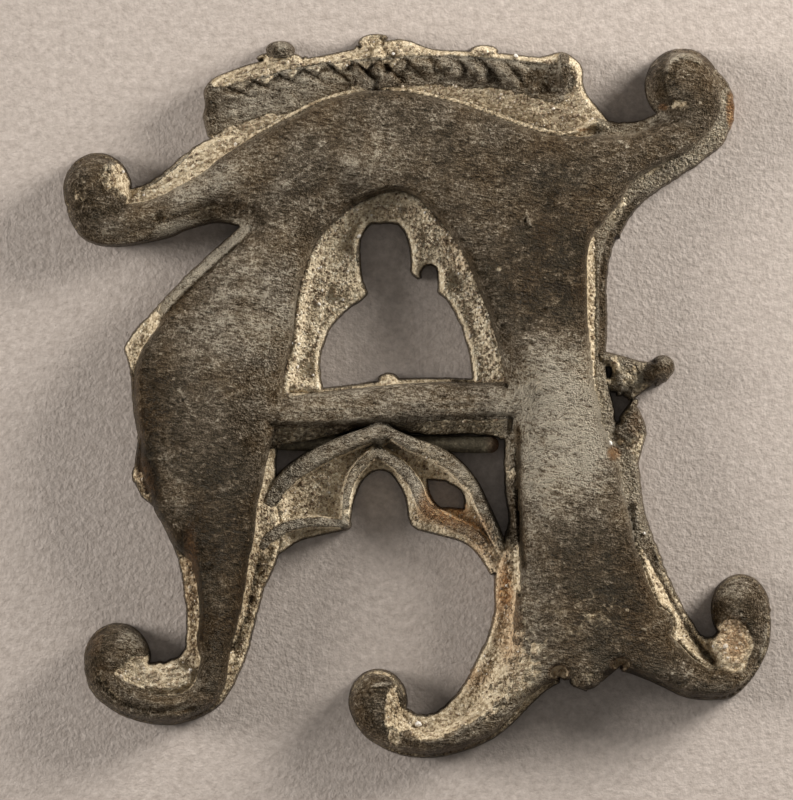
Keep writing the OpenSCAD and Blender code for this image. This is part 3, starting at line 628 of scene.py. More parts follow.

# Rubbed and dark places, sand, rust, lumps and grooves, in the columns of spots and scratches. The rubbed
# places on the left arm and both legs are lightened partly for wear and partly as painted sheen. A few small
# spots are painted highlights, on the curls, the middle hook's ball and the left leg's bevel. A dark strip
# along the right leg's inner edge, where the sand is also cleared, is painted shade.
letter_tone_and_painted_light = [
    (-12.0, 11.3, 2.6, 0.7, 38, 0.5), (-8.6, 13.4, 1.6, 0.6, 28, 0.2), (-11.4, -9.6, 0.6, 3.4, 0, -0.7),
    (-7.9, -10.2, 1.1, 3.4, -12, -0.4), (-13.7, -4.0, 0.7, 1.4, 10, -0.7),
    (-12.6, -14.0, 2.0, 0.8, 0, 0.28), (-1.6, 12.3, 0.8, 2.1, 4, 0.14), (-3.4, 11.6, 0.5, 0.4, 20, 0.2),
    (-6.5, 10.5, 0.4, 0.25, 20, 0.24), (-6.1, 9.6, 0.4, 0.22, 10, 0.2), (-2.6, 12.0, 2.4, 1.2, 30, 0.10),
    (3.0, 12.4, 2.6, 1.5, -12, -0.06), (6.8, 11.0, 2.8, 1.8, -10, -0.18), (-4.8, 12.6, 2.2, 1.0, 30, 0.04),
    (-10.4, 10.7, 2.4, 0.9, 24, 0.42), (-7.6, 4.4, 3.6, 3.4, 40, 0.28), (-13.2, 8.9, 2.4, 0.8, 20, 0.12),
    (-11.2, 2.6, 2.2, 1.6, 0, 0.10), (-12.8, -3.4, 1.3, 5.6, 4, -0.24), (-9.6, -6.6, 2.4, 4.2, 0, -0.3),
    (-10.2, -12.4, 1.8, 2.6, 20, -0.12), (6.4, 6.2, 2.9, 3.4, 0, -0.3), (6.8, -1.5, 2.8, 4.5, -8, 0.68),
    (4.9, -4.8, 0.45, 4.2, 0, -0.25), (8.6, -3.0, 1.4, 3.2, 10, 0.22), (5.4, -9.2, 0.9, 4.4, 0, 0.22),
    (9.2, -9.8, 2.4, 4.2, 12, -0.22), (5.6, -9.4, 2.0, 3.2, 0, 0.03), (11.6, -13.4, 3.0, 1.4, -20, -0.12),
    (12.2, 16.0, 0.8, 1.4, 20, -0.25), (14.1, 14.6, 1.0, 1.4, 0, -0.05), (-2.0, -15.4, 1.4, 1.6, 0, -0.12),
    (-1.75, -14.4, 0.5, 0.1, 4, 0.9), (-11.7, -15.6, 0.7, 0.12, 20, 0.5), (3.6, -15.4, 2.4, 1.4, 35, 0.14),
    (-16.4, 9.6, 1.0, 1.6, 0, -0.10), (-15.35, 11.5, 0.3, 0.2, 20, 0.5), (-13.55, 3.3, 0.3, 0.5, 30, 0.5),
    (15.8, -9.5, 1.2, 0.7, 0, 0.26), (15.0, -10.6, 0.5, 0.4, 0, -0.2), (15.8, -12.3, 1.0, 1.3, 0, -0.05),
    (7.1, -13.8, 0.8, 0.6, 0, -0.12), (10.1, -13.4, 0.8, 0.6, 0, -0.12), (10.75, -5.2, 0.5, 1.8, 4, 0.2),
    (-12.1, -4.8, 0.7, 2.6, 12, 0.3), (16.6, -11.6, 0.5, 1.6, 8, -0.2),
    (-15.9, -12.4, 0.8, 1.4, -10, -0.10), (-14.2, -11.9, 0.8, 0.8, 0, 0.3),
    (5.8, -13.6, 0.9, 1.5, -30, 0.2)]
letter_sand = [
    (-14.8, 11.0, 1.1, 1.2, 20, 1.1), (-16.8, 9.9, 0.6, 1.4, 0, 0.6), (9.8, 9.7, 0.7, 1.0, 10, 0.3),
    (4.05, 6.35, 0.25, 0.2, 20, 0.6), (5.95, 0.4, 0.42, 0.36, 0, 0.8), (4.4, -13.6, 1.6, 2.6, -30, 0.6),
    (8.5, -14.2, 1.6, 0.6, 0, 0.5), (-12.2, -12.4, 1.0, 0.9, 0, 0.9), (1.0, -16.1, 2.5, 1.2, 18, 1.2),
    (-1.2, -15.9, 0.45, 1.5, 0, 0.9), (-1.6, -13.75, 1.1, 0.4, -10, 0.4), (3.6, -14.6, 1.6, 1.2, 50, 0.8),
    (6.8, -9.6, 3.6, 3.0, 0, 0.34), (4.9, -11.6, 1.2, 2.6, 0, 0.3), (9.4, -11.8, 2.4, 2.0, 0, 0.28),
    (-12.2, -4.6, 0.6, 2.2, 12, 0.3), (-13.7, -4.0, 0.7, 1.5, 10, -0.7), (-11.4, -9.6, 0.6, 3.4, 0, -0.35),
    (-14.1, -12.8, 0.6, 0.5, 0, 0.3), (4.9, -4.6, 0.55, 4.2, 0, -1.0), (5.9, -13.7, 0.9, 1.6, -30, 0.45),
    (4.9, -13.9, 0.6, 1.2, 0, -0.3), (15.8, -9.7, 1.2, 0.9, 0, 0.3), (-2.4, 9.9, 1.6, 0.8, 20, 0.3),
    (-3.2, 12.4, 0.7, 0.8, 0, 0.3), (8.2, -0.6, 1.2, 1.6, 0, 0.2), (12.4, 12.0, 1.6, 0.4, 40, 0.3),
    (13.0, 14.5, 0.9, 0.4, -10, 0.6), (-9.9, 12.9, 1.4, 0.8, 30, 0.4), (-15.4, -14.4, 0.7, 1.0, 30, 0.4),
    (-10.9, 13.0, 0.5, 0.9, 20, -0.5), (-10.4, 9.9, 2.2, 0.5, 25, 0.25)]
# Level sand in the lower curls and in the toe's notches: middle, sizes and turn, then the height of its top.
sand_pools = [
    (15.75, -12.45, 1.0, 1.3, 12, 2.1), (-13.0, -13.9, 1.9, 0.85, -6, 2.1),
    (7.12, -13.8, 0.42, 0.34, 0, 2.4), (10.2, -13.42, 0.4, 0.32, 0, 2.4)]
letter_rust = [
    (15.7, 14.3, 0.26, 1.0, 0, 1.3), (7.1, -13.8, 0.7, 0.5, 0, 0.5), (10.1, -13.4, 0.7, 0.5, 0, 0.5),
    (12.3, 14.45, 0.3, 0.2, 0, 0.8), (9.85, -2.85, 0.4, 0.4, 0, 1.0), (4.5, -11.2, 0.9, 2.8, 6, 0.62),
    (2.6, -14.6, 1.2, 0.8, 40, 0.35), (8.3, 13.3, 0.4, 0.1, 0, 0.9), (4.4, -9.2, 0.4, 1.8, 0, 0.5),
    (3.2, -13.8, 0.8, 0.6, 40, 0.4), (15.8, -12.2, 0.9, 1.3, 0, 0.7), (-12.6, -13.9, 1.3, 0.7, 0, 0.3),
    (4.55, -5.0, 0.4, 3.8, 0, 0.3), (-11.3, -8.6, 0.5, 3.0, 0, 0.45), (-13.6, -4.0, 0.6, 1.4, 10, 0.4),
    (-16.1, -12.2, 0.6, 1.2, -10, 0.35), (-11.0, -15.4, 1.6, 0.6, 10, 0.3)]
letter_lumps = [
    (-9.0, 2.4, 0.45, 0.26, 10, 0.16), (-9.7, 3.3, 0.22, 0.18, 0, 0.09), (-7.75, 1.8, 0.2, 0.2, 0, 0.08),
    (-11.35, -2.35, 0.2, 0.2, 0, 0.16), (-12.65, 9.6, 0.2, 0.18, 0, -0.12),
    (-12.85, 8.95, 0.3, 0.25, 30, -0.14), (-3.4, 11.6, 0.4, 0.35, 0, 0.07),
    (-6.5, 10.5, 0.35, 0.28, 20, 0.09), (4.05, 6.35, 0.22, 0.16, 20, 0.07),
    (5.95, 0.4, 0.42, 0.36, 0, 0.06), (5.4, 8.85, 0.12, 0.2, 0, -0.10), (-15.35, 11.5, 0.3, 0.25, 0, 0.2),
    (-14.8, 10.6, 0.9, 0.8, 0, -0.35), (0.6, -16.4, 1.6, 0.8, 15, 0.25), (15.1, -10.9, 0.5, 0.4, 30, -0.15),
    (-1.1, -15.7, 0.35, 1.0, 0, -0.12), (12.6, 14.5, 0.7, 0.3, 0, -0.3), (17.4, -13.0, 0.3, 0.3, 0, 0.3),
    (-13.7, -3.1, 0.35, 0.3, 0, 0.25), (-13.7, -4.3, 0.4, 0.35, 0, 0.3)]
letter_grooves = [
    (-12.75, -1.6, -12.6, -3.2, 0.10, -0.06), (-11.6, 3.55, -11.1, 3.05, 0.06, -0.06),
    (-11.95, 0.4, -11.2, -0.7, 0.06, -0.07), (-6.4, 9.6, -2.6, 12.2, 0.05, -0.03),
    (-5.4, 12.9, -1.2, 14.1, 0.05, -0.03), (3.4, 13.2, 6.8, 11.9, 0.05, -0.03),
    (6.2, 3.0, 8.8, 2.1, 0.05, -0.03), (5.0, -6.5, 5.5, -11.0, 0.07, -0.03),
    (7.2, -8.2, 7.8, -12.0, 0.07, -0.03), (8.6, -5.2, 9.8, -9.6, 0.06, -0.03),
    (-9.3, -1.2, -8.0, 0.2, 0.05, -0.04), (-10.8, 5.2, -9.6, 6.6, 0.05, -0.04),
    (11.15, 13.2, 12.75, 12.3, 0.07, 0.08), (-7.8, 11.7, -7.4, 10.0, 0.07, -0.06),
    (-7.0, -0.3, -2.2, 0.0, 0.05, -0.04), (-5.0, -0.8, -0.4, -0.5, 0.05, -0.04),
    (-1.8, -0.2, 3.4, 0.05, 0.05, -0.04), (0.4, -0.8, 4.4, -0.6, 0.05, -0.04)]
# Flakes and burrs that stand up and catch the light, in the columns of scratches.
letter_flakes = [
    (-11.85, 3.55, -11.15, 3.05, 0.06, 0.35), (-11.9, 0.4, -11.25, -0.75, 0.06, 0.4),
    (-12.95, 0.45, -12.5, 0.3, 0.07, 0.35), (-7.6, 4.8, -7.4, 5.4, 0.05, 0.35),
    (-6.45, 10.65, -5.3, 11.4, 0.05, 0.3), (0.45, 10.95, 0.75, 11.4, 0.06, 0.3),
    (3.15, 12.65, 3.35, 12.6, 0.07, 0.35), (5.15, 11.7, 5.55, 11.5, 0.06, 0.3),
    (5.45, 9.1, 5.65, 8.55, 0.08, 0.6), (5.35, 8.9, 5.2, 8.6, 0.07, 0.4),
    (11.35, -11.6, 11.5, -11.9, 0.06, 0.4), (7.75, 2.15, 8.05, 1.7, 0.06, 0.35),
    (-10.2, 6.1, -9.5, 5.9, 0.05, 0.25), (-9.6, 5.2, -8.6, 5.0, 0.05, 0.22),
    (-8.9, 6.4, -8.1, 6.3, 0.05, 0.22), (-10.9, 4.4, -10.1, 4.1, 0.05, 0.22),
    (-8.4, 3.6, -7.6, 3.5, 0.05, 0.22), (-12.4, -0.1, -11.9, -0.5, 0.06, 0.25),
    (-10.6, -1.2, -10.0, -1.5, 0.06, 0.25), (-9.4, -0.4, -8.8, -0.2, 0.05, 0.2),
    (-12.7, -2.6, -12.4, -3.3, 0.06, 0.25), (-9.9, -2.2, -9.4, -2.0, 0.07, 0.25),
    (6.3, -7.4, 6.5, -9.2, 0.06, 0.25), (7.2, -7.2, 7.1, -8.6, 0.06, 0.2),
    (5.4, -11.2, 5.9, -12.0, 0.06, 0.25), (8.9, -5.6, 9.3, -6.6, 0.06, 0.2),
    (-3.3, 11.3, -2.9, 11.7, 0.06, 0.3), (-4.9, 9.9, -4.6, 9.7, 0.07, 0.3),
    (1.9, 10.3, 2.4, 10.1, 0.05, 0.2), (-0.9, 13.2, -0.3, 13.6, 0.05, 0.2),
    (-2.4, 10.9, -2.0, 12.4, 0.08, 0.2), (6.9, 9.6, 7.6, 9.4, 0.05, 0.2)]
# Curved ridges and furrows: width, lift, tone and sand, then the line's points. They follow the edges inside
# the curls and the hooks, both sides of the crossbar, the foot of the left arm and the edges of the legs. The
# dark tone of the furrows at the left leg's upper strip and at the right leg's inner edge is painted shade,
# and the light tone on the upper right curl's top ridge is a painted highlight.
letter_lines = [
    (0.09, -0.08, -0.35, -0.3, [(-8.25, 8.45), (-8.6, 7.9), (-10.15, 6.5), (-11.6, 5.1), (-12.85, 3.75)]),
    (0.12, -0.05, 0.25, 0.75, [
        (-6.3, 0.02), (-4.6, 0.4), (-2.5, 0.55), (-0.5, 0.72), (1.2, 0.84), (2.9, 0.85), (4.2, 0.8)]),
    (0.11, 0.08, 0.0, -0.7, [(-10.5, 14.2), (-10.75, 13.1), (-11.6, 11.9), (-12.9, 10.85), (-13.9, 10.2)]),
    (0.11, 0.06, 0.2, 0.15, [(-7.0, -1.3), (-2.0, -1.22), (4.8, -1.2)]),
    (0.14, 0.22, 0.5, -0.2, [(12.5, 16.3), (12.8, 16.85), (13.5, 17.0), (14.15, 16.7)]),
    (0.16, 0.12, 0.0, -0.2, [(12.6, 15.0), (12.4, 15.7), (12.5, 16.3)]),
    (0.16, 0.20, 0.1, -0.5, [
        (-15.4, -14.0), (-14.4, -14.9), (-13.0, -15.35), (-11.6, -15.2), (-10.9, -14.4)]),
    (0.12, -0.14, -0.2, 0.2, [(-15.9, -14.1), (-14.8, -15.2), (-13.1, -15.75), (-11.2, -15.6)]),
    (0.12, 0.14, 0.2, -0.3, [(-1.3, -16.6), (0.0, -17.2), (1.4, -17.1), (3.0, -16.2), (4.4, -15.0)]),
    (0.16, 0.04, 0.2, 0.35, [(-3.1, -14.7), (-2.6, -14.0), (-1.9, -13.75), (-1.1, -14.1), (-0.75, -14.9)]),
    (0.13, -0.22, -0.5, -0.6, [(5.1, -1.6), (5.05, -4.0), (5.15, -6.5), (5.35, -8.5)]),
    (0.24, -0.32, -0.22, -0.7, [(11.5, -7.4), (12.2, -9.0), (13.0, -10.6), (14.0, -12.3), (14.8, -13.3)]),
    (0.2, -0.12, -0.25, -0.6, [(-7.9, -8.3), (-8.25, -9.8), (-8.6, -11.3), (-9.2, -12.6)]),
    (0.16, 0.16, -0.1, -0.5, [(-11.1, -7.2), (-10.75, -9.0), (-10.7, -11.0), (-10.9, -12.2)]),
    (0.10, 0.10, 0.25, 0.2, [(16.9, -9.3), (17.45, -10.4), (17.5, -11.8), (17.0, -13.4), (16.2, -14.4)])]

# The swelling at the left leg's bump and the lobe of the toe between its notches, by their two edge lines.
left_bulge = (
    np.array([(-14.0, -2.2), (-14.2, -3.5), (-14.15, -4.4), (-13.85, -5.05), (-13.2, -5.6)]),
    np.array([(-13.0, -2.2), (-12.9, -3.4), (-12.7, -4.4), (-12.4, -5.2), (-12.2, -5.8)]))
fork_lobe = (
    np.array([(6.9, -13.0), (7.8, -13.0), (8.6, -13.0), (9.4, -13.0), (10.3, -12.9)]),
    np.array([(7.1, -14.1), (7.8, -14.55), (8.55, -14.78), (9.4, -14.25), (10.2, -13.55)]))
# Ovals that fill the face where two strokes meet.
face_joints = [(11.8, -11.5, 1.0, 1.0), (6.0, -9.9, 0.9, 1.4)]
# The outline round the corners where an arm meets a leg.
upper_left_edge = np.array([(-8.1, 9.2), (-9.05, 8.35), (-10.6, 7.0), (-12.05, 5.6), (-13.35, 4.2)])
upper_right_edge = np.array([
    (9.6, 5.1), (9.65, 6.5), (9.9, 7.6), (10.4, 8.5), (11.0, 9.35), (12.0, 10.1), (13.4, 11.1)])
# Where the face has no ledge but rounds off to the outline: under the left arm and left of the left leg.
soft_lines = [
    np.array([(-15.6, 8.1), (-14.0, 7.7), (-12.6, 7.65), (-10.1, 8.4), (-8.6, 9.0)]),
    np.array([(-12.6, -3.4), (-12.0, -5.0), (-11.4, -6.8)])]
# The bow's worn upper edge: its width, lift, tone and sand, and the eased rows that it runs along.
BOW_RIM_MARKS = (0.17, 0.5, 0.22, 0.2)
WORN_STRETCH = slice(24, 57)
# The share of a curl's ball and of a fork's knob that its face covers, the ledge under the toe's lobe, how
# far a row and a curl count on the face, and how far the rims and the left arm's ledge stand up.
CURL_FACE, FORK_FACE, LOBE_LEDGE = 0.86, 0.95, 0.22
ROW_REACH, CURL_REACH = 1.3, 2.4
RIM_LIFT, RAISED_LIFT = 0.42, 1.15

stroke_rows = [bow_rows, left_leg_rows, right_leg_rows, middle_hook_rows, right_hook_rows, crossbar_rows]
stroke_bands = [band(rows) for rows in stroke_rows]
slope_lines = eased(slope_rows)
slope_band = (slope_lines[:, [0, 1]] + (0, 0.5), slope_lines[:, [0, 2]])
knobs = curl_knobs + fork_knobs + [left_bump, crossbar_bump]
knob_bands = [oval(place) for place in knobs] + [fork_lobe, left_bulge]
x, y = lattice(stroke_bands + knob_bands, FINE_CELL)
out = depth(x, y, stroke_bands + knob_bands + [slope_band])
face_bands = [face_band(rows) for rows in stroke_rows]
face_bands += [oval(place, CURL_FACE) for place in curl_knobs]
face_bands += [oval(place, FORK_FACE) for place in fork_knobs + face_joints]
face_bands += [(fork_lobe[0], fork_lobe[1] + (0, LOBE_LEDGE))]
face = depth(x, y, face_bands)
# Where an arm meets a leg, the ledge goes round the corner of the outline at a width of its own.
left_ledge = 0.66 * np.maximum(grow(y, 9.3, -0.9), 0.1)
right_ledge = np.interp(y, [8.3, 10.4], [1.15, 0.7])
for edge, width in ((upper_left_edge, left_ledge), (upper_right_edge, right_ledge)):
    to_edge = gap_to_line(x, y, edge, 2.5)
    face = np.where(to_edge < 2.4, np.minimum(face, to_edge - width), face)
soft_edge = np.max([bell(gap_to_line(x, y, line, 2.5), 1.1, 4) for line in soft_lines], axis=0)
face += 0.03 * mottle(x, y, 0.5, 91)

# The crown of the face follows the rows: each row's height counts by how near its middle is.
height_sum, weight_sum = 3.2e-4 + np.zeros(x.shape), 1e-4 + np.zeros(x.shape)
for row in np.vstack(stroke_rows):
    middle = (row[0:2] + row[2:4]) / 2
    weight = np.exp(-np.minimum(((x - middle[0]) ** 2 + (y - middle[1]) ** 2) / ROW_REACH**2, 30.0))
    height_sum += weight * row[6]
    weight_sum += weight
crown_of_face = height_sum / weight_sum
in_curl = sum(
    np.exp(-np.minimum((((x - place[0]) ** 2 + (y - place[1]) ** 2) / CURL_REACH**2) ** 2, 30.0))
    for place in curl_knobs)

# The ledge: crusted where it is wide, with rims beside the legs, raised under the left arm and bevelled
# beside the crocket.
ledge_width = np.maximum(out - face, 0.0)
crust = grow(ledge_width, 0.3, 0.5) * (1 - soft_edge)
on_ledge = np.clip(0.5 - (face + 0.04) / 0.14, 0, 1)
out -= 0.05 * (0.5 + 0.5 * mottle(x, y, 0.3, 92)) * (0.5 + crust)
ledge = LEDGE_Z + crust * (0.07 * mottle(x, y, 0.9, 1) + 0.03 * mottle(x, y, 0.22, 2)) - 0.1 * (1 - crust)
ledge += 0.15 * crust * bell(np.minimum(face, 0), 0.3)
for line in (right_leg_rim, left_leg_rim):
    to_rim = gap_to_line(x, y, eased(line), 1.2)
    ledge += RIM_LIFT * np.maximum(grow(y, -9.5, 3), 0.2) * bell(to_rim, 0.24)
lower_right = grow(x, 9.0, 0.5) * grow(y, -5.0, -3.0)
ledge += 0.4 * lower_right * bell(face + 0.22, 0.16)
raised = grow(x, -7.6, -0.8) * grow(x, -13.4, 0.8) * grow(y, 3.0, 1.2) * grow(y, 9.2, -0.8)
ledge += RAISED_LIFT * raised * (1 - soft_edge)
beside_crocket = grow(x, 8.6, 0.3) * grow(y, 1.2, 0.8) * grow(y, 10.5, -0.8)
bevel = beside_crocket * grow(out, 0.5, -0.12)
ledge -= 0.25 * bevel
ledge *= 0.55 + 0.45 * rounded(out / 0.35)

# The face rises steeply from the ledge and goes on to its crown. It is worn and brushed.
camber = CAMBER * (1 + 0.6 * in_curl)
shoulder = 0.38 + 0.6 * in_curl + soft_edge
front = ledge + (crown_of_face - camber - ledge) * rounded((face + 0.06 + 0.7 * soft_edge) / shoulder)
front += camber * (1 - np.exp(-np.maximum(face, 0) / 1.1))
slope_from = np.interp(x, slope_lines[:, 0], slope_lines[:, 1])
slope_to = np.interp(x, slope_lines[:, 0], slope_lines[:, 2])
slope = SLOPE_TOP_Z + (SLOPE_FOOT_Z - SLOPE_TOP_Z) * grow(y, slope_from, slope_to - slope_from) ** 0.8
on_slope = covered(x, y, slope_band) & (face < 0)
front = np.where(on_slope, np.maximum(front, slope + 0.05 * mottle(x, y, 0.6, 31)), front)
bump = 0.3 + 0.7 * (1 - from_middle(x, y, crossbar_bump))
front = np.maximum(front, BUMP_Z * np.maximum(bump, 0) ** 0.5)

in_bar = bell(y + 0.3, 0.9, 4) * grow(np.abs(x + 1.0), 6.0, -0.8)
worn = 0.05 * mottle(x, y, 2.4, 3) + 0.03 * mottle(x, y, 0.7, 4) + 0.028 * mottle(x, y, 0.24, 6)
brushed = mottle(x * 0.94 / 5 + y * 0.34 / 5, y * 0.94 - x * 0.34, 0.2, 93) * (1 - in_bar)
brushed += mottle(x / 6, y, 0.2, 33) * in_bar
flakes = scratches(x, y, letter_flakes)
dents = spots(x, y, letter_lumps) + scratches(x, y, letter_grooves)
front += (1 - on_ledge) * (worn + 0.03 * brushed) + dents + 0.16 * flakes
pooled = np.zeros(x.shape)
for place in sand_pools:
    share = np.clip(2.2 * spots(x, y, [(*place[:5], 1.0)]) - 0.35 + 0.3 * mottle(x, y, 0.5, 98), 0, 1)
    front += (place[5] + 0.05 * mottle(x, y, 0.4, 97) - front) * share * np.clip(out / 0.25, 0, 1)
    pooled = np.maximum(pooled, share)

# Sand lies on the wide ledges, and less on the bevel and the even, rubbed ledges of right leg and left arm.
even_ledge = np.maximum(grow(x, 8.6, 0.4) * grow(y, -9.0, 2), raised)
ragged = 0.7 + 0.4 * mottle(x, y, 0.8, 7) + 0.3 * mottle(x, y, 0.25, 94)
sand = on_ledge * (0.45 + 0.65 * crust) * (1 - 0.85 * bevel) * (1 - 0.62 * even_ledge) * (1 - 0.8 * soft_edge)
sand += spots(x, y, letter_sand) * ragged
sand = np.where(on_slope, 0.5 * sand, sand) + 1.2 * pooled
front += 0.05 * grow(sand, 0.5, 0.5) * (1 - even_ledge) * mottle(x, y, 0.26, 19)

tone = 0.38 + 0.08 * mottle(x, y, 1.6, 8, 3) + 3.0 * np.maximum(worn - 0.05, 0) + 0.07 * brushed
# Part of what these spots add is painted light in the tone: sheen, small highlights and a shade strip.
tone += spots(x, y, letter_tone_and_painted_light) * (0.85 + 0.3 * mottle(x, y, 0.5, 95))
tone += 0.2 * crust * on_ledge * (1 - bevel)
pale = 0.76 + 0.5 * raised + 0.06 * mottle(x, y, 0.5, 96)
tone += (pale - tone) * 0.85 * even_ledge * (out - face > 0.25) * on_ledge * (1 - bevel)
tone += 0.25 * pooled - 0.12 * on_slope
tone += flakes - 0.16 * on_ledge * (1 - crust) * (1 - soft_edge) + 0.22 * in_bar - 0.06 * bevel
# Painted highlights: dotted glints along the crossbar's upper front edge, added to the tone.
above_bar = y > np.interp(x, *np.array(crossbar_rows)[:, :2].T) - 0.42
painted_glints = in_bar * bell(face - 0.14, 0.07) * above_bar * np.clip(1.8 * mottle(x, y, 0.3, 37), 0, 1)
tone += 0.6 * painted_glints
bow_rim = (band(bow_rows)[0] + face_band(bow_rows)[0])[WORN_STRETCH] / 2
# Some lines' tone is painted light: shade in two furrows and a highlight on the upper right curl's ridge.
for width, lift, tint, cover, line in [(*BOW_RIM_MARKS, bow_rim)] + [
        (*row[:4], eased(row[4], 6)) for row in letter_lines]:
    near = bell(gap_to_line(x, y, line, 3 * width), width)
    near = np.where(near > 2e-4, near, 0)
    front += lift * near
    tone += tint * near
    sand += cover * near
letter = relief(
    "letter", x, y, out, front,
    {"sand": sand, "tone": tone, "rust": spots(x, y, letter_rust)}, pewter)
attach(letter, "root")
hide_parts("casting")


# The crown: a low plate above the bow, cast with it, with a sandy upper border, a band of crossed bars under
# it, three worn knobs on its edge and an upright leaf at its right end. Sand fills the upper gaps of the bars
# and the groove along the bow.
# Columns of a plate's rows: a point on one edge, then the point across from it on the other.
crown_rows = [
    [-10.75, 14.00, -10.50, 13.00],
    [-10.62, 14.60, -10.30, 12.80],
    [-10.70, 15.20, -10.10, 12.60],
    [-10.40, 15.75,  -9.80, 12.40],
    [ -9.75, 16.15,  -8.95, 12.30],
    [ -7.75, 16.80,  -7.45, 13.05],
    [ -5.45, 16.95,  -5.25, 14.20],
    [ -3.15, 17.40,  -2.95, 14.90],
    [ -0.85, 17.90,  -0.75, 14.90],
    [  0.75, 17.40,   0.85, 14.70],
    [  2.65, 17.30,   2.75, 14.20],
    [  4.71, 17.15,   4.78, 13.55],
    [  6.15, 17.00,   6.40, 13.05],
    [  7.25, 17.25,   7.90, 12.90],
    [  8.05, 16.80,   8.60, 13.00],
    [  8.33, 16.30,   9.10, 13.20],
    [  8.33, 15.70,   9.40, 13.40],
    [  8.55, 15.10,   9.60, 13.60],
    [  8.95, 14.60,   9.85, 13.50]]
crown_rim = [
    [-9.70, 15.35], [-8.30, 15.75], [-5.75, 16.40], [-3.70, 16.65], [-1.15, 16.90], [1.90, 16.95],
    [4.45, 16.75], [6.90, 16.50]]
band_foot = [
    [-9.60, 14.60], [-5.75, 15.35], [-3.20, 15.60], [0.20, 15.65], [3.20, 15.60], [7.00, 14.85]]
crown_knobs = [
    [-6.85, 17.28, 0.75, 0.52, 2.6],
    [-2.05, 17.70, 0.90, 0.45, 2.4],
    [ 3.35, 17.25, 0.75, 0.35, 2.1]]
# An oval that carries the left knob, the oval of it that is bare of sand, and how hollow each knob is worn.
knob_foot = [-6.90, 16.85, 1.20, 0.42]
bare_knob = [-6.85, 17.28, 0.85, 0.42]
knob_hollows = [0.0, 0.9, 0.0]
CROWN_Z = 1.85
CROWN_CELL = 0.065
# The band's left end, the width of a bay between crossings, and the lean and the width of a bar.
BAND_FROM, BAY = -9.44, 1.254
BAR_LEAN, BAR_WIDTH = 0.72, 0.085
# Nodules in the right half of the band, ridges beside the middle knob, and rubbed, dark and sandy places.
# Among the tone spots, small highlights on the leaf, on the right end's ridge and on the left knob are
# painted. So is the shade down the left end and under the band's right half.
crown_lumps = [
    (-0.1, 16.5, 0.32, 0.26, 0, 0.35), (1.25, 16.5, 0.30, 0.24, 0, 0.35), (1.75, 16.0, 0.30, 0.2, 0, 0.30),
    (2.85, 16.2, 0.34, 0.28, 30, 0.38), (3.25, 15.8, 0.26, 0.2, 0, 0.3), (4.2, 16.2, 0.34, 0.22, -40, 0.36),
    (4.75, 15.65, 0.34, 0.24, -20, 0.32), (5.95, 15.4, 0.3, 0.24, 0, 0.25),
    (7.3, 16.3, 0.28, 1.05, -4, 0.5), (6.4, 15.4, 1.6, 0.5, -14, -0.06), (-9.2, 14.1, 0.14, 0.14, 0, 0.14),
    (-6.25, 14.55, 0.12, 0.1, 0, 0.12), (-1.9, 16.8, 0.24, 0.65, 0, 0.45), (-10.4, 14.5, 0.25, 1.3, 4, 0.1)]
crown_rust = [(8.35, 13.3, 0.4, 0.1, 0, 0.9)]
crown_ridges = [(-0.85, 16.6, -1.75, 15.55, 0.18, 0.4), (-3.0, 16.6, -2.4, 15.4, 0.2, 0.35)]
crown_sand = [
    (-8.2, 13.3, 1.6, 0.5, 30, 0.5), (-10.1, 13.6, 0.7, 0.6, 0, -0.6), (5.2, 14.4, 2.6, 0.7, -16, 0.5),
    (8.4, 14.6, 0.9, 1.2, 30, 0.6), (0.6, 15.1, 3.4, 0.5, -4, 0.55), (8.0, 16.4, 0.35, 0.9, 0, 0.7),
    (7.25, 16.3, 0.28, 1.1, -4, -1.2), (-10.35, 14.6, 0.35, 1.2, 4, -1.0), (6.0, 16.3, 1.3, 0.3, -8, -0.6),
    (-4.6, 14.7, 1.9, 0.35, 22, 0.4)]
crown_tone_and_painted_light = [
    (-7.4, 14.6, 2.6, 0.9, 24, 0.14), (-10.35, 14.5, 0.3, 1.3, 4, -0.2), (6.2, 15.3, 1.2, 0.4, -14, -0.04),
    (7.3, 16.2, 0.3, 1.1, -4, -0.3), (7.14, 16.35, 0.12, 0.7, -4, 0.35), (5.9, 16.4, 1.2, 0.12, -8, 0.3),
    (-6.9, 17.3, 0.8, 0.5, 0, -0.22), (-9.2, 14.1, 0.16, 0.16, 0, 0.5), (-6.25, 14.55, 0.14, 0.12, 0, 0.5),
    (-6.7, 17.45, 0.25, 0.14, 0, 0.6)]

crown_bands = [band(crown_rows), oval(knob_foot)] + [oval(place) for place in crown_knobs]
x, y = lattice(crown_bands, CROWN_CELL)
out = depth(x, y, crown_bands, 2.0)
rim_line, foot_line = eased(crown_rim, 4), eased(band_foot, 4)
rim_y = np.interp(x, rim_line[:, 0], rim_line[:, 1])
foot_y = np.interp(x, foot_line[:, 0], foot_line[:, 1])
along = (x - BAND_FROM) / BAY
down = (rim_y - y) / (rim_y - foot_y)
in_band = grow(down, -0.04, 0.1) * grow(down, 1.06, -0.12)
in_band *= grow(x, -9.7, 0.3) * grow(x, 7.0, -0.3)
# The bars are where along - down or along + down is a whole number. At the right the band is worn to nodules.
slants = [bell(np.abs(p - np.rint(p)) * BAY * BAR_LEAN, BAR_WIDTH) for p in (along - down, along + down)]
slants[0] *= grow(down, 1.1, -0.35) * np.clip(0.7 + 0.5 * mottle(x, y, 0.6, 17), 0.2, 1)
bars = np.maximum(slants[0], 0.35 * slants[1])
upper_gap = np.floor(along - down) == np.floor(along + down)
right = grow(x, -1.2, 1.6)
off_middle = (along - down) % 1 - 0.5
nodules = bell(off_middle, 0.3) * bell(down - 0.4, 0.33) * grow(x, 5.6, -0.8)
low_nodules = bell(off_middle, 0.28) * bell(down - 0.64, 0.22) * (1 - right)

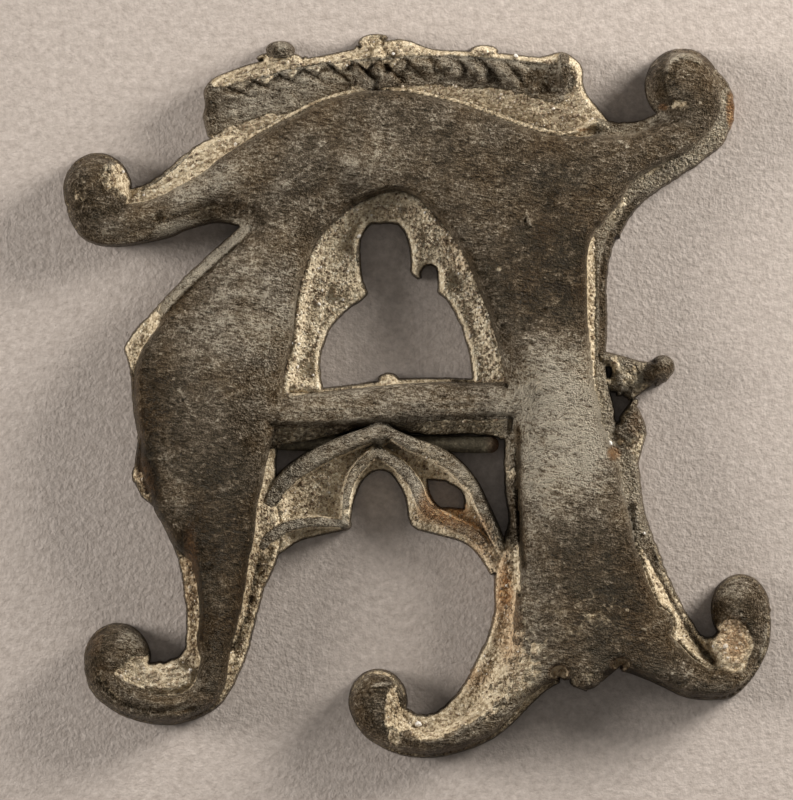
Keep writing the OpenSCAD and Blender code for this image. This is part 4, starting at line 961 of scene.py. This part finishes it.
below = grow(y, foot_y, -1.6)
front = CROWN_Z - 0.45 * below + 0.07 * mottle(x, y, 0.8, 11) + 0.035 * mottle(x, y, 0.25, 12)
border = grow(y, rim_y, 0.12)
front += 0.12 * border * bell(y - rim_y, 0.7) + 0.05 * border * mottle(x, y, 0.3, 13)
front += in_band * (1 - right) * (0.16 * upper_gap * (1 - bars) - 0.15 * bars)
front += 0.14 * in_band * low_nodules
front += in_band * right * (0.34 * nodules - 0.06 * slants[0] - 0.05)
front += spots(x, y, crown_lumps) + scratches(x, y, crown_ridges)
front *= 0.5 + 0.5 * rounded(out / 0.4)
for place, hollow in zip(crown_knobs, knob_hollows):
    r = from_middle(x, y, place)
    dome = place[4] * np.maximum(0.3 + 0.7 * (1 - r), 0) ** 0.4 - hollow * bell(r, 0.3)
    front = np.where(r < 1.2, np.maximum(front, dome + 0.22 * mottle(x, y, 0.4, 14)), front)

sand = 0.15 + 0.75 * border + spots(x, y, crown_sand) + 0.25 * mottle(x, y, 0.5, 15)
sand += 0.8 * grow(below, 0.55, 0.3) + 0.45 * right * grow(below, 0, 0.2)
sand += in_band * (0.5 * (1 - right) * upper_gap * (1 - bars) - 0.6 * bars + 0.1 * right * nodules)
sand[from_middle(x, y, bare_knob) < 1] = 0.1
# Some of these tone spots are painted highlights and painted shade.
tone = 0.58 + 0.1 * mottle(x, y, 0.9, 16) + 0.12 * border + spots(x, y, crown_tone_and_painted_light)
# The bars darken the band partly as dark metal and partly as painted shadow; in the right half the dark
# slants beside the nodules are painted shadow.
tone += in_band * (1 - right) * (0.24 * upper_gap * (1 - bars) - 0.28 * bars)
tone += 0.2 * in_band * low_nodules
tone += in_band * right * (0.26 * nodules - 0.2 * slants[0])
tone += 0.3 * bell(y - rim_y, 0.1) * grow(x, -9, 2)
crown = relief(
    "crown", x, y, out, front,
    {"sand": sand, "tone": tone, "rust": spots(x, y, crown_rust)}, pewter)
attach(crown, "root")
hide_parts("casting")


# The upper tracery: a thin plate that fills the arch of the A above its crossbar, pierced by a trefoil that
# is broken through at its right lobe. It is cast with the letter and buried in sand.
arch_rows = [
    [-2.20, 10.20, -0.20, 10.20],
    [-4.40,  8.60,  1.60,  8.60],
    [-5.60,  6.20,  2.90,  6.20],
    [-6.10,  3.60,  3.80,  3.60],
    [-6.50,  1.40,  4.60,  1.40],
    [-6.80,  0.20,  4.70,  0.20]]
trefoil_rows = [
    [-2.25,  8.60, -0.95,  8.60],
    [-2.60,  8.20, -0.65,  8.20],
    [-2.80,  7.55, -0.45,  7.55],
    [-2.80,  6.60, -0.35,  6.60],
    [-2.65,  5.70, -0.25,  6.05],
    [-2.40,  5.15,  1.05,  5.25]]
trefoil_foot_rows = [
    [-2.40,  5.15,  1.00,  5.25],
    [-3.00,  4.60,  1.60,  4.60],
    [-3.90,  3.90,  2.00,  3.90],
    [-4.40,  3.20,  2.30,  3.10],
    [-4.75,  2.20,  2.60,  2.20],
    [-4.85,  1.20,  2.70,  1.20],
    [-4.70,  0.20,  2.65,  0.20]]
# The opening at the right lobe is an upright slot with round ends.
SLOT_X, SLOT_R, SLOT_FOOT_Y, SLOT_TOP_Y = 0.62, 0.42, 5.30, 6.10
ARCH_FOOT_Y = -0.5
PLATE_Z = 1.3
TRACERY_CELL = 0.065
arch_lumps = [
    (-2.9, 7.9, 0.35, 0.9, -14, 0.28), (-3.6, 5.4, 0.7, 0.45, 35, 0.22), (-5.0, 4.6, 0.4, 1.6, -10, 0.12),
    (1.9, 7.4, 0.5, 1.0, 18, -0.08), (-1.6, 9.3, 0.9, 0.35, 0, 0.16), (3.0, 3.0, 0.4, 1.8, 8, -0.05),
    (1.5, 5.9, 0.28, 0.5, 0, 0.25), (-4.9, 1.6, 0.35, 0.8, 0, 0.15), (-3.9, 7.5, 0.3, 0.7, -25, -0.05)]
arch_sand = [
    (-3.2, 5.2, 0.6, 0.25, 40, -0.4), (-2.9, 7.3, 0.12, 0.7, -8, -0.5)]
arch_rust = [(1.9, 7.4, 0.9, 1.6, 20, 0.45), (-1.2, 9.2, 1.6, 0.5, 0, 0.35)]

# The plate runs a little under the strokes beside it and down to the middle of the crossbar.
left, right = band(arch_rows)
left[-1, 1], right[-1, 1] = ARCH_FOOT_Y, ARCH_FOOT_Y
arch_bands = [(left + (-0.5, 0.3), right + (0.5, 0.3))]
slot_ends = np.array([[SLOT_X, SLOT_TOP_Y], [SLOT_X, SLOT_FOOT_Y]])
openings = [band(trefoil_rows), band(trefoil_foot_rows), (slot_ends - (SLOT_R, 0), slot_ends + (SLOT_R, 0))]
openings += [oval((*end, SLOT_R, SLOT_R)) for end in slot_ends]
x, y = lattice(arch_bands, TRACERY_CELL)


def banked(x, y, width=0.35):
    """1 at the edge of the letter, falling off as exp(-(gap / width)^2) away from it."""
    return bell(depth(x, y, stroke_bands, 1.0), width)


bank = banked(x, y)
opening = depth(x, y, openings, 2.0)
opening += 0.05 * mottle(x, y, 0.5, 21)
out = np.minimum(depth(x, y, arch_bands, 2.0), -opening)
front = PLATE_Z + 0.07 * mottle(x, y, 0.9, 22) + 0.035 * mottle(x, y, 0.3, 23) + spots(x, y, arch_lumps)
edge = bell(np.maximum(-opening, 0), 0.28)
front += 0.06 * edge + 0.45 * bank * np.maximum(grow(x, 1.5, -2), 0.2)
front *= 0.5 + 0.5 * rounded(out / 0.35)
sand = 1.15 + 0.1 * mottle(x, y, 0.6, 24) + spots(x, y, arch_sand) - 0.42 * edge
tone = 0.98 + 0.06 * mottle(x, y, 0.7, 25)
upper_tracery = relief(
    "upper_tracery", x, y, out, front,
    {"sand": sand, "tone": tone, "rust": spots(x, y, arch_rust)}, pewter)
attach(upper_tracery, "root")
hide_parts("casting")


# The lower tracery: a pointed arch of thin ribs over a thinner web between the legs, with a hole in its right
# spandrel. The ribs' tops are rubbed pale; sand lies on the web, orange-brown at the right.
web_rows = [
    [-7.60, -4.90, -7.30, -8.20],
    [-6.90, -4.20, -6.60, -7.75],
    [-5.90, -3.50, -5.80, -7.25],
    [-4.60, -2.70, -4.60, -6.95],
    [-3.60, -2.20, -3.45, -6.60],
    [-3.00, -1.95, -3.20, -5.50],
    [-2.40, -1.75, -2.80, -4.40],
    [-2.00, -1.70, -2.25, -3.85],
    [-1.70, -1.70, -1.70, -3.75],
    [-0.80, -2.00, -1.20, -4.05],
    [ 0.50, -2.60, -0.60, -5.10],
    [ 1.60, -3.15, -0.30, -6.50],
    [ 2.60, -4.00,  0.90, -6.95],
    [ 3.35, -5.10,  2.30, -7.35],
    [ 3.90, -6.60,  3.10, -8.05],
    [ 4.60, -7.40,  3.80, -9.20]]
spandrel_hole_rows = [
    [0.55, -4.20, 1.30, -4.25],
    [0.60, -4.60, 2.00, -4.60],
    [0.80, -5.10, 2.30, -5.05],
    [1.20, -5.60, 2.30, -5.60]]
# Columns of a rib's rows: its middle, its width and its height above the back.
outer_left_rib = [
    [-1.90, -1.75, 0.9, 2.3],
    [-3.40, -2.30, 1.0, 2.1],
    [-5.10, -3.10, 1.0, 1.9],
    [-6.50, -4.10, 1.0, 1.8],
    [-7.36, -5.27, 0.8, 1.6],
    [-7.80, -6.60, 0.3, 1.4]]
outer_right_rib = [
    [-1.78, -1.66, 0.7, 2.25],
    [-1.25, -1.90, 0.7, 2.25],
    [-0.10, -2.45, 0.8, 2.1],
    [ 1.00, -2.90, 0.9, 2.0],
    [ 1.90, -3.55, 0.9, 1.9],
    [ 2.65, -4.35, 0.8, 1.9],
    [ 3.20, -5.30, 0.7, 1.8],
    [ 4.00, -7.10, 0.7, 1.7],
    [ 4.55, -8.60, 0.3, 1.5]]
inner_left_rib = [
    [-1.95, -2.70, 0.6, 1.8],
    [-2.85, -3.50, 0.6, 1.7],
    [-3.45, -4.60, 0.5, 1.7],
    [-3.60, -6.50, 0.5, 1.7]]
inner_right_rib = [
    [-1.95, -2.80, 0.6, 1.8],
    [-0.90, -3.45, 0.7, 1.8],
    [-0.15, -4.35, 0.7, 1.7],
    [ 0.45, -5.60, 0.7, 1.7],
    [ 1.70, -6.35, 0.7, 1.7],
    [ 2.90, -6.95, 0.7, 1.6],
    [ 3.70, -7.90, 0.6, 1.6],
    [ 4.20, -9.00, 0.3, 1.45]]
lower_left_rib = [
    [-8.10, -8.20, 0.3, 1.4],
    [-7.50, -7.20, 0.7, 1.6],
    [-6.60, -6.60, 0.6, 1.6],
    [-5.30, -6.30, 0.6, 1.6],
    [-3.60, -6.40, 0.5, 1.6]]
# Domes where ribs meet: middle, half width, half height and height above the back.
rib_meetings = [
    (-1.84, -1.75, 0.75, 0.8, 2.3), (4.15, -8.3, 0.5, 0.7, 1.5), (-1.95, -2.8, 0.4, 0.36, 1.8),
    (-3.6, -6.45, 0.34, 0.3, 1.6)]
WEB_Z, SUNK_RIB_Z = 0.9, 1.32
web_tone = [
    (-3.9, -4.9, 1.5, 1.5, -45, 0.08), (2.2, -3.8, 0.5, 1.6, -50, 0.2), (0.0, -4.6, 0.35, 1.2, -20, 0.2),
    (-1.8, -1.9, 0.8, 0.3, 0, -0.1), (5.0, -4.5, 0.5, 4.5, 0, -0.16)]
web_rust = [
    (1.4, -5.7, 1.6, 0.9, -35, 1.1), (2.2, -5.6, 0.3, 0.3, 0, 0.8), (3.2, -7.0, 0.8, 1.2, 0, 0.7),
    (0.4, -5.9, 0.5, 0.6, 0, 0.5), (4.2, -8.4, 0.8, 1.0, 0, 0.5)]


def rib_band(rows):
    """The two edge lines of a rib: its middle line moved half its width to either side."""
    path = eased(rows)
    run = np.gradient(path[:, 0:2], axis=0)
    side = np.c_[-run[:, 1], run[:, 0]] / np.linalg.norm(run, axis=1, keepdims=True) * path[:, 2:3] / 2
    return path[:, 0:2] + side, path[:, 0:2] - side


def merged(a, b, soft=0.05):
    """The higher of two surfaces with the crease between them filled: soft ln(e^(a/soft) + e^(b/soft))."""
    high, low = np.maximum(a, b), np.minimum(a, b)
    return high + soft * np.log1p(np.exp((low - high) / soft))


ribs = [outer_left_rib, outer_right_rib, inner_left_rib, inner_right_rib, lower_left_rib]
rib_bands = [rib_band(rows) for rows in ribs]
joints = [oval(place) for place in rib_meetings]
x, y = lattice([band(web_rows)] + rib_bands, TRACERY_CELL)
hole = depth(x, y, [band(spandrel_hole_rows)], 1.0) + 0.04 * mottle(x, y, 0.4, 41)
rib_depths = [depth(x, y, [pair], 1.0) for pair in rib_bands]
out = depth(x, y, [band(web_rows)] + rib_bands + joints, 1.5)
out = np.maximum(np.minimum(out, -hole), np.minimum(np.max(rib_depths, axis=0), 0.2))
web = WEB_Z + 0.09 * mottle(x, y, 0.8, 42) + 0.04 * mottle(x, y, 0.3, 43)
web *= 0.5 + 0.5 * rounded(out / 0.3)
front = web
flat = np.zeros(x.shape)
for rows, inside in zip(ribs, rib_depths):
    path = eased(rows)
    near = [np.exp(-np.minimum((x - px) ** 2 + (y - py) ** 2, 12.0) / 0.15) for px, py in path[:, 0:2]]
    total = np.sum(near, axis=0) + 1e-9
    high, half = np.tensordot(path[:, 3], near, 1) / total, np.tensordot(path[:, 2] / 2, near, 1) / total
    rise = rounded((inside + 0.05) / np.maximum(0.7 * half, 0.1))
    rib = web + (high - web) * rise + 0.04 * mottle(x, y, 0.3, 44)
    front = np.where(inside > -0.05, merged(front, rib), front)
    flat = np.maximum(flat, grow(inside, 0, 0.1) * grow(half, 0, 0.3))
for place in rib_meetings:
    dome = 1 - from_middle(x, y, place)
    front = merged(front, place[4] * np.maximum(dome, 0) ** 0.3)
    flat = np.maximum(flat, np.clip(3 * dome, 0, 1))
# The right rib's end sinks into the ledge, and sand banks up against the letter.
into_ledge = grow(x, 2.0, 1.0) * grow(y, -7.2, -1.3)
front += (np.minimum(front, SUNK_RIB_Z) - front) * into_ledge
front += 0.3 * banked(x, y, 0.3) * (flat < 0.2)
right = grow(x, 0.2, 1.2)
sand = 1.1 - 0.85 * flat * (1 - into_ledge) + 0.3 * mottle(x, y, 0.5, 45) + 0.1 * right
tone = 0.82 - 0.08 * flat + 0.15 * mottle(x, y, 0.5, 46) + spots(x, y, web_tone)
lower_tracery = relief(
    "lower_tracery", x, y, out, front,
    {"sand": sand, "tone": tone, "rust": spots(x, y, web_rust)}, pewter)
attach(lower_tracery, "root")
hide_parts("casting")


# The crocket: a short sandy stem with a dark knob on the right leg's edge, a pinhole where it leaves the leg,
# and a dark leaf below it that curls against the ledge. It is cast with the letter.
stem_knobs = [
    [ 9.95, 1.05, 0.90, 0.90],
    [11.50, 1.00, 0.60, 0.60],
    [10.75, 0.35, 0.55, 0.55],
    [10.80, -0.25, 0.30, 0.40]]
knob_ovals = [
    [11.60, 0.95, 0.75, 0.62],
    [12.05, 1.25, 0.70, 0.66],
    [12.30, 1.45, 0.62, 0.60]]
pinhole_oval = [9.58, 1.20, 0.15, 0.30]
leaf_outline = [
    [10.72, -0.22], [11.15, -0.70], [11.45, -1.40], [11.52, -1.90], [11.35, -2.45],
    [11.08, -3.48], [10.20, -3.55], [ 9.70, -1.70], [10.10, -1.30], [10.12, -1.05]]
STEM_Z, LEAF_Z, KNOB_Z = 1.45, 1.6, 2.3
SUNK_LEAF_Z = 1.35
# A painted highlight at the knob's upper end, and a paler spot on the stem.
crocket_tone_and_highlight = [(12.45, 1.75, 0.3, 0.22, 0, 0.4), (11.1, 0.8, 0.25, 0.4, 0, 0.3)]
crocket_sand = [(10.9, -2.6, 0.9, 0.9, 0, 0.25)]
crocket_rust = [(10.9, -1.4, 0.5, 0.8, 0, 0.45)]

leaf = np.array(leaf_outline)
leaf_band = (leaf[[0, 9, 8, 7, 6]], leaf[[1, 2, 3, 4, 5]])
stem_band = (
    np.array([[9.2, 2.3], [10.2, 2.05], [11.2, 1.75], [11.9, 1.7]]),
    np.array([[9.2, 0.6], [10.2, 0.05], [10.9, -0.12], [11.9, 0.6]]))
root_band = (np.array([[9.7, -1.3], [9.9, -3.2]]), np.array([[11.25, -1.5], [11.05, -3.1]]))
crocket_bands = [stem_band, leaf_band, root_band] + [oval(place) for place in knob_ovals + stem_knobs]
x, y = lattice(crocket_bands, TRACERY_CELL)
pinhole = depth(x, y, [oval(pinhole_oval, 0.75)], 1.0)
out = np.minimum(depth(x, y, crocket_bands, 1.5), -pinhole)
leaf_in = depth(x, y, [leaf_band], 1.0)
front = STEM_Z + 0.1 * mottle(x, y, 0.6, 51) + 0.05 * mottle(x, y, 0.2, 52)
front *= 0.45 + 0.55 * rounded(out / 0.5)
leaf_front = LEAF_Z * (0.6 + 0.4 * rounded(leaf_in / 0.4)) + 0.1
front = np.where(leaf_in > 0, np.maximum(front, leaf_front), front)
# The knob is an oval dome turned to lie along the stem, whose direction is (0.8, 0.6).
along, across = (x - 12.1) * 0.8 + (y - 1.3) * 0.6, (y - 1.3) * 0.8 - (x - 12.1) * 0.6
ball = 1 - from_middle(along, across, (0, 0, 0.95, 0.62))
front = np.maximum(front, (KNOB_Z + 0.22 * mottle(x, y, 0.5, 54)) * np.maximum(0.25 + 0.75 * ball, 0) ** 0.5)
into_ledge = grow(y, -1.9, -1.3)
front += (np.minimum(front, SUNK_LEAF_Z) - front) * into_ledge
on_knob = np.clip(ball * 3, 0, 1)
sand = 0.45 - 0.6 * on_knob - 0.1 * (leaf_in > 0) + 0.3 * mottle(x, y, 0.5, 53)
sand += spots(x, y, crocket_sand)
tone = 0.72 - 0.42 * on_knob - 0.22 * (leaf_in > 0) * (1 - into_ledge) + spots(x, y, crocket_tone_and_highlight)
crocket = relief(
    "crocket", x, y, out, front,
    {"sand": sand, "tone": tone, "rust": spots(x, y, crocket_rust)}, pewter)
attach(crocket, "root")
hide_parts("casting")


# The pin: a plain round bar across the back, seen between the crossbar and the lower tracery. Its metal,
# taken for iron, is corroded to a dark reddish brown. Its left end sits in the left leg, its right is round.
# A ring of points is carried along its axis: s runs along it and a turns round it.
pin_from = np.array([-7.40, -2.30])
pin_to = np.array([4.15, -2.44])
PIN_R, PIN_Z = 0.45, 0.65
TIP_LENGTH, TIP_GAP = 0.5, 0.05
length = np.linalg.norm(pin_to - pin_from)
ahead = (pin_to - pin_from) / length
aside = np.array([-ahead[1], ahead[0]])
t = np.linspace(0.0, 1.0, 120)
body = np.c_[t * (length - TIP_LENGTH), np.full(t.size, PIN_R)]
turn = np.linspace(0.0, np.pi / 2, 12)[1:-1]
tip = np.c_[length - TIP_LENGTH + PIN_R * np.sin(turn), PIN_R * np.cos(turn)]
profile = np.vstack([body, tip])
round_turn = np.linspace(0.0, 2 * np.pi, 40, endpoint=False)
s, a = np.meshgrid(profile[:, 0], round_turn, indexing="ij")
r = profile[:, 1][:, None] * (0.94 + 0.05 * mottle(s, a * 1.2, 0.5, 61, 3))
centre = pin_from + s[..., None] * ahead
flank = centre + (r * np.cos(a))[..., None] * aside
surface = np.dstack([flank, PIN_Z + r * np.sin(a)])
ends = np.array([[*pin_from, PIN_Z], [*(pin_from + ahead * (length - TIP_GAP)), PIN_Z]])
count, around = surface.shape[:2]
i, j = np.meshgrid(np.arange(count - 1), np.arange(around), indexing="ij")
k = (j + 1) % around
near, far = i * around, (i + 1) * around
quads = np.stack([near + j, near + k, far + k, far + j], -1).reshape(-1, 4)
j, k = np.arange(around), (np.arange(around) + 1) % around
first = np.c_[np.full(around, count * around), k, j]
last = np.c_[np.full(around, count * around + 1), (count - 1) * around + j, (count - 1) * around + k]


def rusty_iron():
    """Brown-black iron with a scale of rust, redder at the free end."""
    f = Finish("rusty_iron")
    lumps, fine = f.grain(0.35, 4.0), f.grain(0.09, 2.0)
    across = f.node("SeparateXYZ", {}, {"Vector": f.place}, "X")
    far = ((across - 3.4) * 1.2).clipped()
    level = (lumps - 0.5) * 1.1 + (fine - 0.5) * 0.8 + 0.45
    dark = f.ramp(level, (0.1, shade(60, 54, 40)), (0.5, shade(104, 94, 74)), (0.9, shade(160, 148, 122)))
    red = f.ramp(level, (0.1, shade(70, 36, 22)), (0.5, shade(112, 66, 40)), (0.9, shade(160, 112, 76)))
    bump = f.node("Bump", {}, {"Strength": 0.8, "Distance": 0.0001, "Height": lumps + fine * 0.6})
    return f.surface(Base_Color=f.mixed(far * 0.7, dark, red), Roughness=0.8, Normal=bump)


pin_bar = solid(
    "pin_bar", np.vstack([surface.reshape(-1, 3), ends]), quads.tolist() + first.tolist() + last.tolist(),
    rusty_iron())
pin_bar.data.polygons.foreach_set("use_smooth", np.ones(len(pin_bar.data.polygons), bool))
sheet = bmesh.new()
sheet.from_mesh(pin_bar.data)
bmesh.ops.recalc_face_normals(sheet, faces=sheet.faces)
sheet.to_mesh(pin_bar.data)
sheet.free()
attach(pin_bar, "root")
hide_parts("pin")


# Loose-looking sand: single grains stuck in the crust, each a rough stone of twenty faces, thickest where the
# sand lies deep, and a few bigger pebbles. Columns of a pebble: its place, its size and how bright it is.
GRAINS = 5200
SMALLEST, SIZE_RANGE = 0.03, 0.06
pebbles = [
    (9.6, -2.35, 0.19, 0.95), (4.95, 17.0, 0.11, 0.95), (-1.2, 17.1, 0.12, 1.0), (0.05, -16.4, 0.18, 0.95),
    (-9.2, 14.1, 0.14, 0.8), (-14.7, 11.2, 0.10, 0.8), (-11.3, -13.7, 0.14, 0.85), (-12.4, -14.4, 0.12, 0.7),
    (-4.9, 4.6, 0.13, 0.9), (-2.9, 8.0, 0.12, 0.85), (9.9, -4.5, 0.1, 0.9), (10.25, -5.2, 0.1, 0.9),
    (11.35, -6.85, 0.09, 0.9), (15.4, -12.5, 0.14, 0.75), (3.2, 4.2, 0.1, 0.7)]

# The twelve corners of a regular solid with twenty faces, each pushed in or out, make one grain.
golden = (1 + 5**0.5) / 2
corner = np.array([
    (-1, golden, 0), (1, golden, 0), (-1, -golden, 0), (1, -golden, 0), (0, -1, golden), (0, 1, golden),
    (0, -1, -golden), (0, 1, -golden), (golden, 0, -1), (golden, 0, 1), (-golden, 0, -1), (-golden, 0, 1)])
corner /= np.linalg.norm(corner[0])
side_of = np.array([
    (0, 11, 5), (0, 5, 1), (0, 1, 7), (0, 7, 10), (0, 10, 11), (1, 5, 9), (5, 11, 4), (11, 10, 2), (10, 7, 6),
    (7, 1, 8), (3, 9, 4), (3, 4, 2), (3, 2, 6), (3, 6, 8), (3, 8, 9), (4, 9, 5), (2, 4, 11), (6, 2, 10),
    (8, 6, 7), (9, 8, 1)])
rng = np.random.default_rng(77)
bed = np.vstack(sand_beds)
chosen = bed[rng.choice(len(bed), GRAINS, replace=False)]
size = SMALLEST + SIZE_RANGE * rng.random(GRAINS) ** 2.5
bright = np.clip(0.42 + 0.2 * rng.standard_normal(GRAINS), 0, 0.95)
for px, py, radius, brightness in pebbles:
    nearest = np.argmin((bed[:, 0] - px) ** 2 + (bed[:, 1] - py) ** 2)
    chosen = np.vstack([chosen, [px, py, bed[nearest, 2]]])
    size, bright = np.append(size, radius), np.append(bright, brightness)
many = len(size)
stretch = 0.7 + 0.6 * rng.random((many, 1, 3))
rough = 0.8 + 0.35 * rng.random((many, len(corner), 1))
angle = rng.random(many) * 2 * np.pi
c, s = np.cos(angle), np.sin(angle)
stone = corner[None] * rough * stretch * size[:, None, None]
turned = np.stack([
    stone[..., 0] * c[:, None] - stone[..., 1] * s[:, None],
    stone[..., 0] * s[:, None] + stone[..., 1] * c[:, None], stone[..., 2]], -1)
place = chosen + np.c_[np.zeros((many, 2)), size * 0.15]
grain_points = np.clip((turned + place[:, None, :]).reshape(-1, 3), *np.array(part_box("casting")) * 1000)
grain_faces = (side_of[None] + len(corner) * np.arange(many)[:, None, None]).reshape(-1, 3)


def grain_stone():
    """Quartz sand: from brown through beige to milky, grain by grain."""
    f = Finish("grain_stone")
    level = f.mark("bright") + (f.grain(0.05, 2.0) - 0.5) * 0.3
    colour = f.ramp(
        level, (0.0, shade(84, 62, 42)), (0.35, shade(142, 122, 96)), (0.65, shade(182, 164, 138)),
        (1.0, shade(240, 234, 224)))
    return f.surface(Base_Color=colour, Roughness=0.6)


sand_grains = solid("sand_grains", grain_points, grain_faces.tolist(), grain_stone())
sand_grains.data.attributes.new("bright", "FLOAT", "POINT").data.foreach_set(
    "value", np.repeat(bright, len(corner)).astype(np.float32))
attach(sand_grains, "root")
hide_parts("casting")


# The floor: a plain pale sheet of paper, one flat square just under the badge. It is only for the picture.
HALF_FLOOR, FLOOR_Z = 500.0, -0.02
floor_finish = Finish("pale_sheet")
paper = floor_finish.grain(0.4, 4.0, 0.7)
floor_colour = floor_finish.ramp(paper, (0.3, shade(176, 163, 152)), (0.7, shade(209, 196, 185)))
fibres = floor_finish.grain(0.22, 3.0, 0.6)
floor_bump = floor_finish.node("Bump", {}, {"Strength": 1.0, "Distance": 0.00006, "Height": fibres})
floor_sheet = floor_finish.surface(Base_Color=floor_colour, Roughness=0.95, Normal=floor_bump)
floor_corners = np.array([
    (px * HALF_FLOOR, py * HALF_FLOOR, FLOOR_Z) for px, py in ((-1, -1), (1, -1), (1, 1), (-1, 1))])
floor = solid("floor", floor_corners, [(0, 1, 2, 3)], floor_sheet)


# Light: a soft lamp near by in the upper right, a wider one farther off at the left, and a weak even light
# from all round. Both lamps stand low, about 20 degrees up, so that the walls throw shadows.
def soft_lamp(name, towards, away, size, energy, colour):
    """Disc lamp that faces the badge from the direction and distance given, in metres."""
    lamp = bpy.data.lights.new(name, "AREA")
    lamp.shape, lamp.size, lamp.energy, lamp.color = "DISK", size, energy, colour
    placed = bpy.data.objects.new(name, lamp)
    placed.location = np.array(towards) / np.linalg.norm(towards) * away
    placed.rotation_euler = Vector(towards).to_track_quat("Z", "Y").to_euler()
    bpy.context.scene.collection.objects.link(placed)


soft_lamp("right_lamp", (0.80, 0.50, 0.34), 0.18, 0.08, 0.50, (1.0, 0.985, 0.96))
soft_lamp("left_lamp", (-0.88, 0.14, 0.32), 0.40, 0.18, 1.70, (1.0, 0.985, 0.97))
EVEN_LIGHT = 0.19
world = bpy.data.worlds.new("even_light")
world.use_nodes = True
world.node_tree.nodes["Background"].inputs["Color"].default_value = (1.0, 0.985, 0.965, 1.0)
world.node_tree.nodes["Background"].inputs["Strength"].default_value = EVEN_LIGHT
bpy.context.scene.world = world
bpy.context.scene.view_settings.view_transform = "Standard"

# Camera: straight above the badge, far off with a long lens. The picture's middle and width, in metres.
AWAY = 0.7
MIDDLE = (-0.001025, -0.0002, 0.0015)
FRAME_WIDTH = 0.03965
camera = bpy.data.cameras.new("camera")
camera.sensor_fit = "HORIZONTAL"
camera.sensor_width = 36.0
camera.lens = camera.sensor_width * AWAY / FRAME_WIDTH
camera.clip_start, camera.clip_end = 0.01, 10.0
camera_object = bpy.data.objects.new("camera", camera)
camera_object.location = (MIDDLE[0], MIDDLE[1], AWAY + MIDDLE[2])
bpy.context.scene.collection.objects.link(camera_object)
bpy.context.scene.camera = camera_object
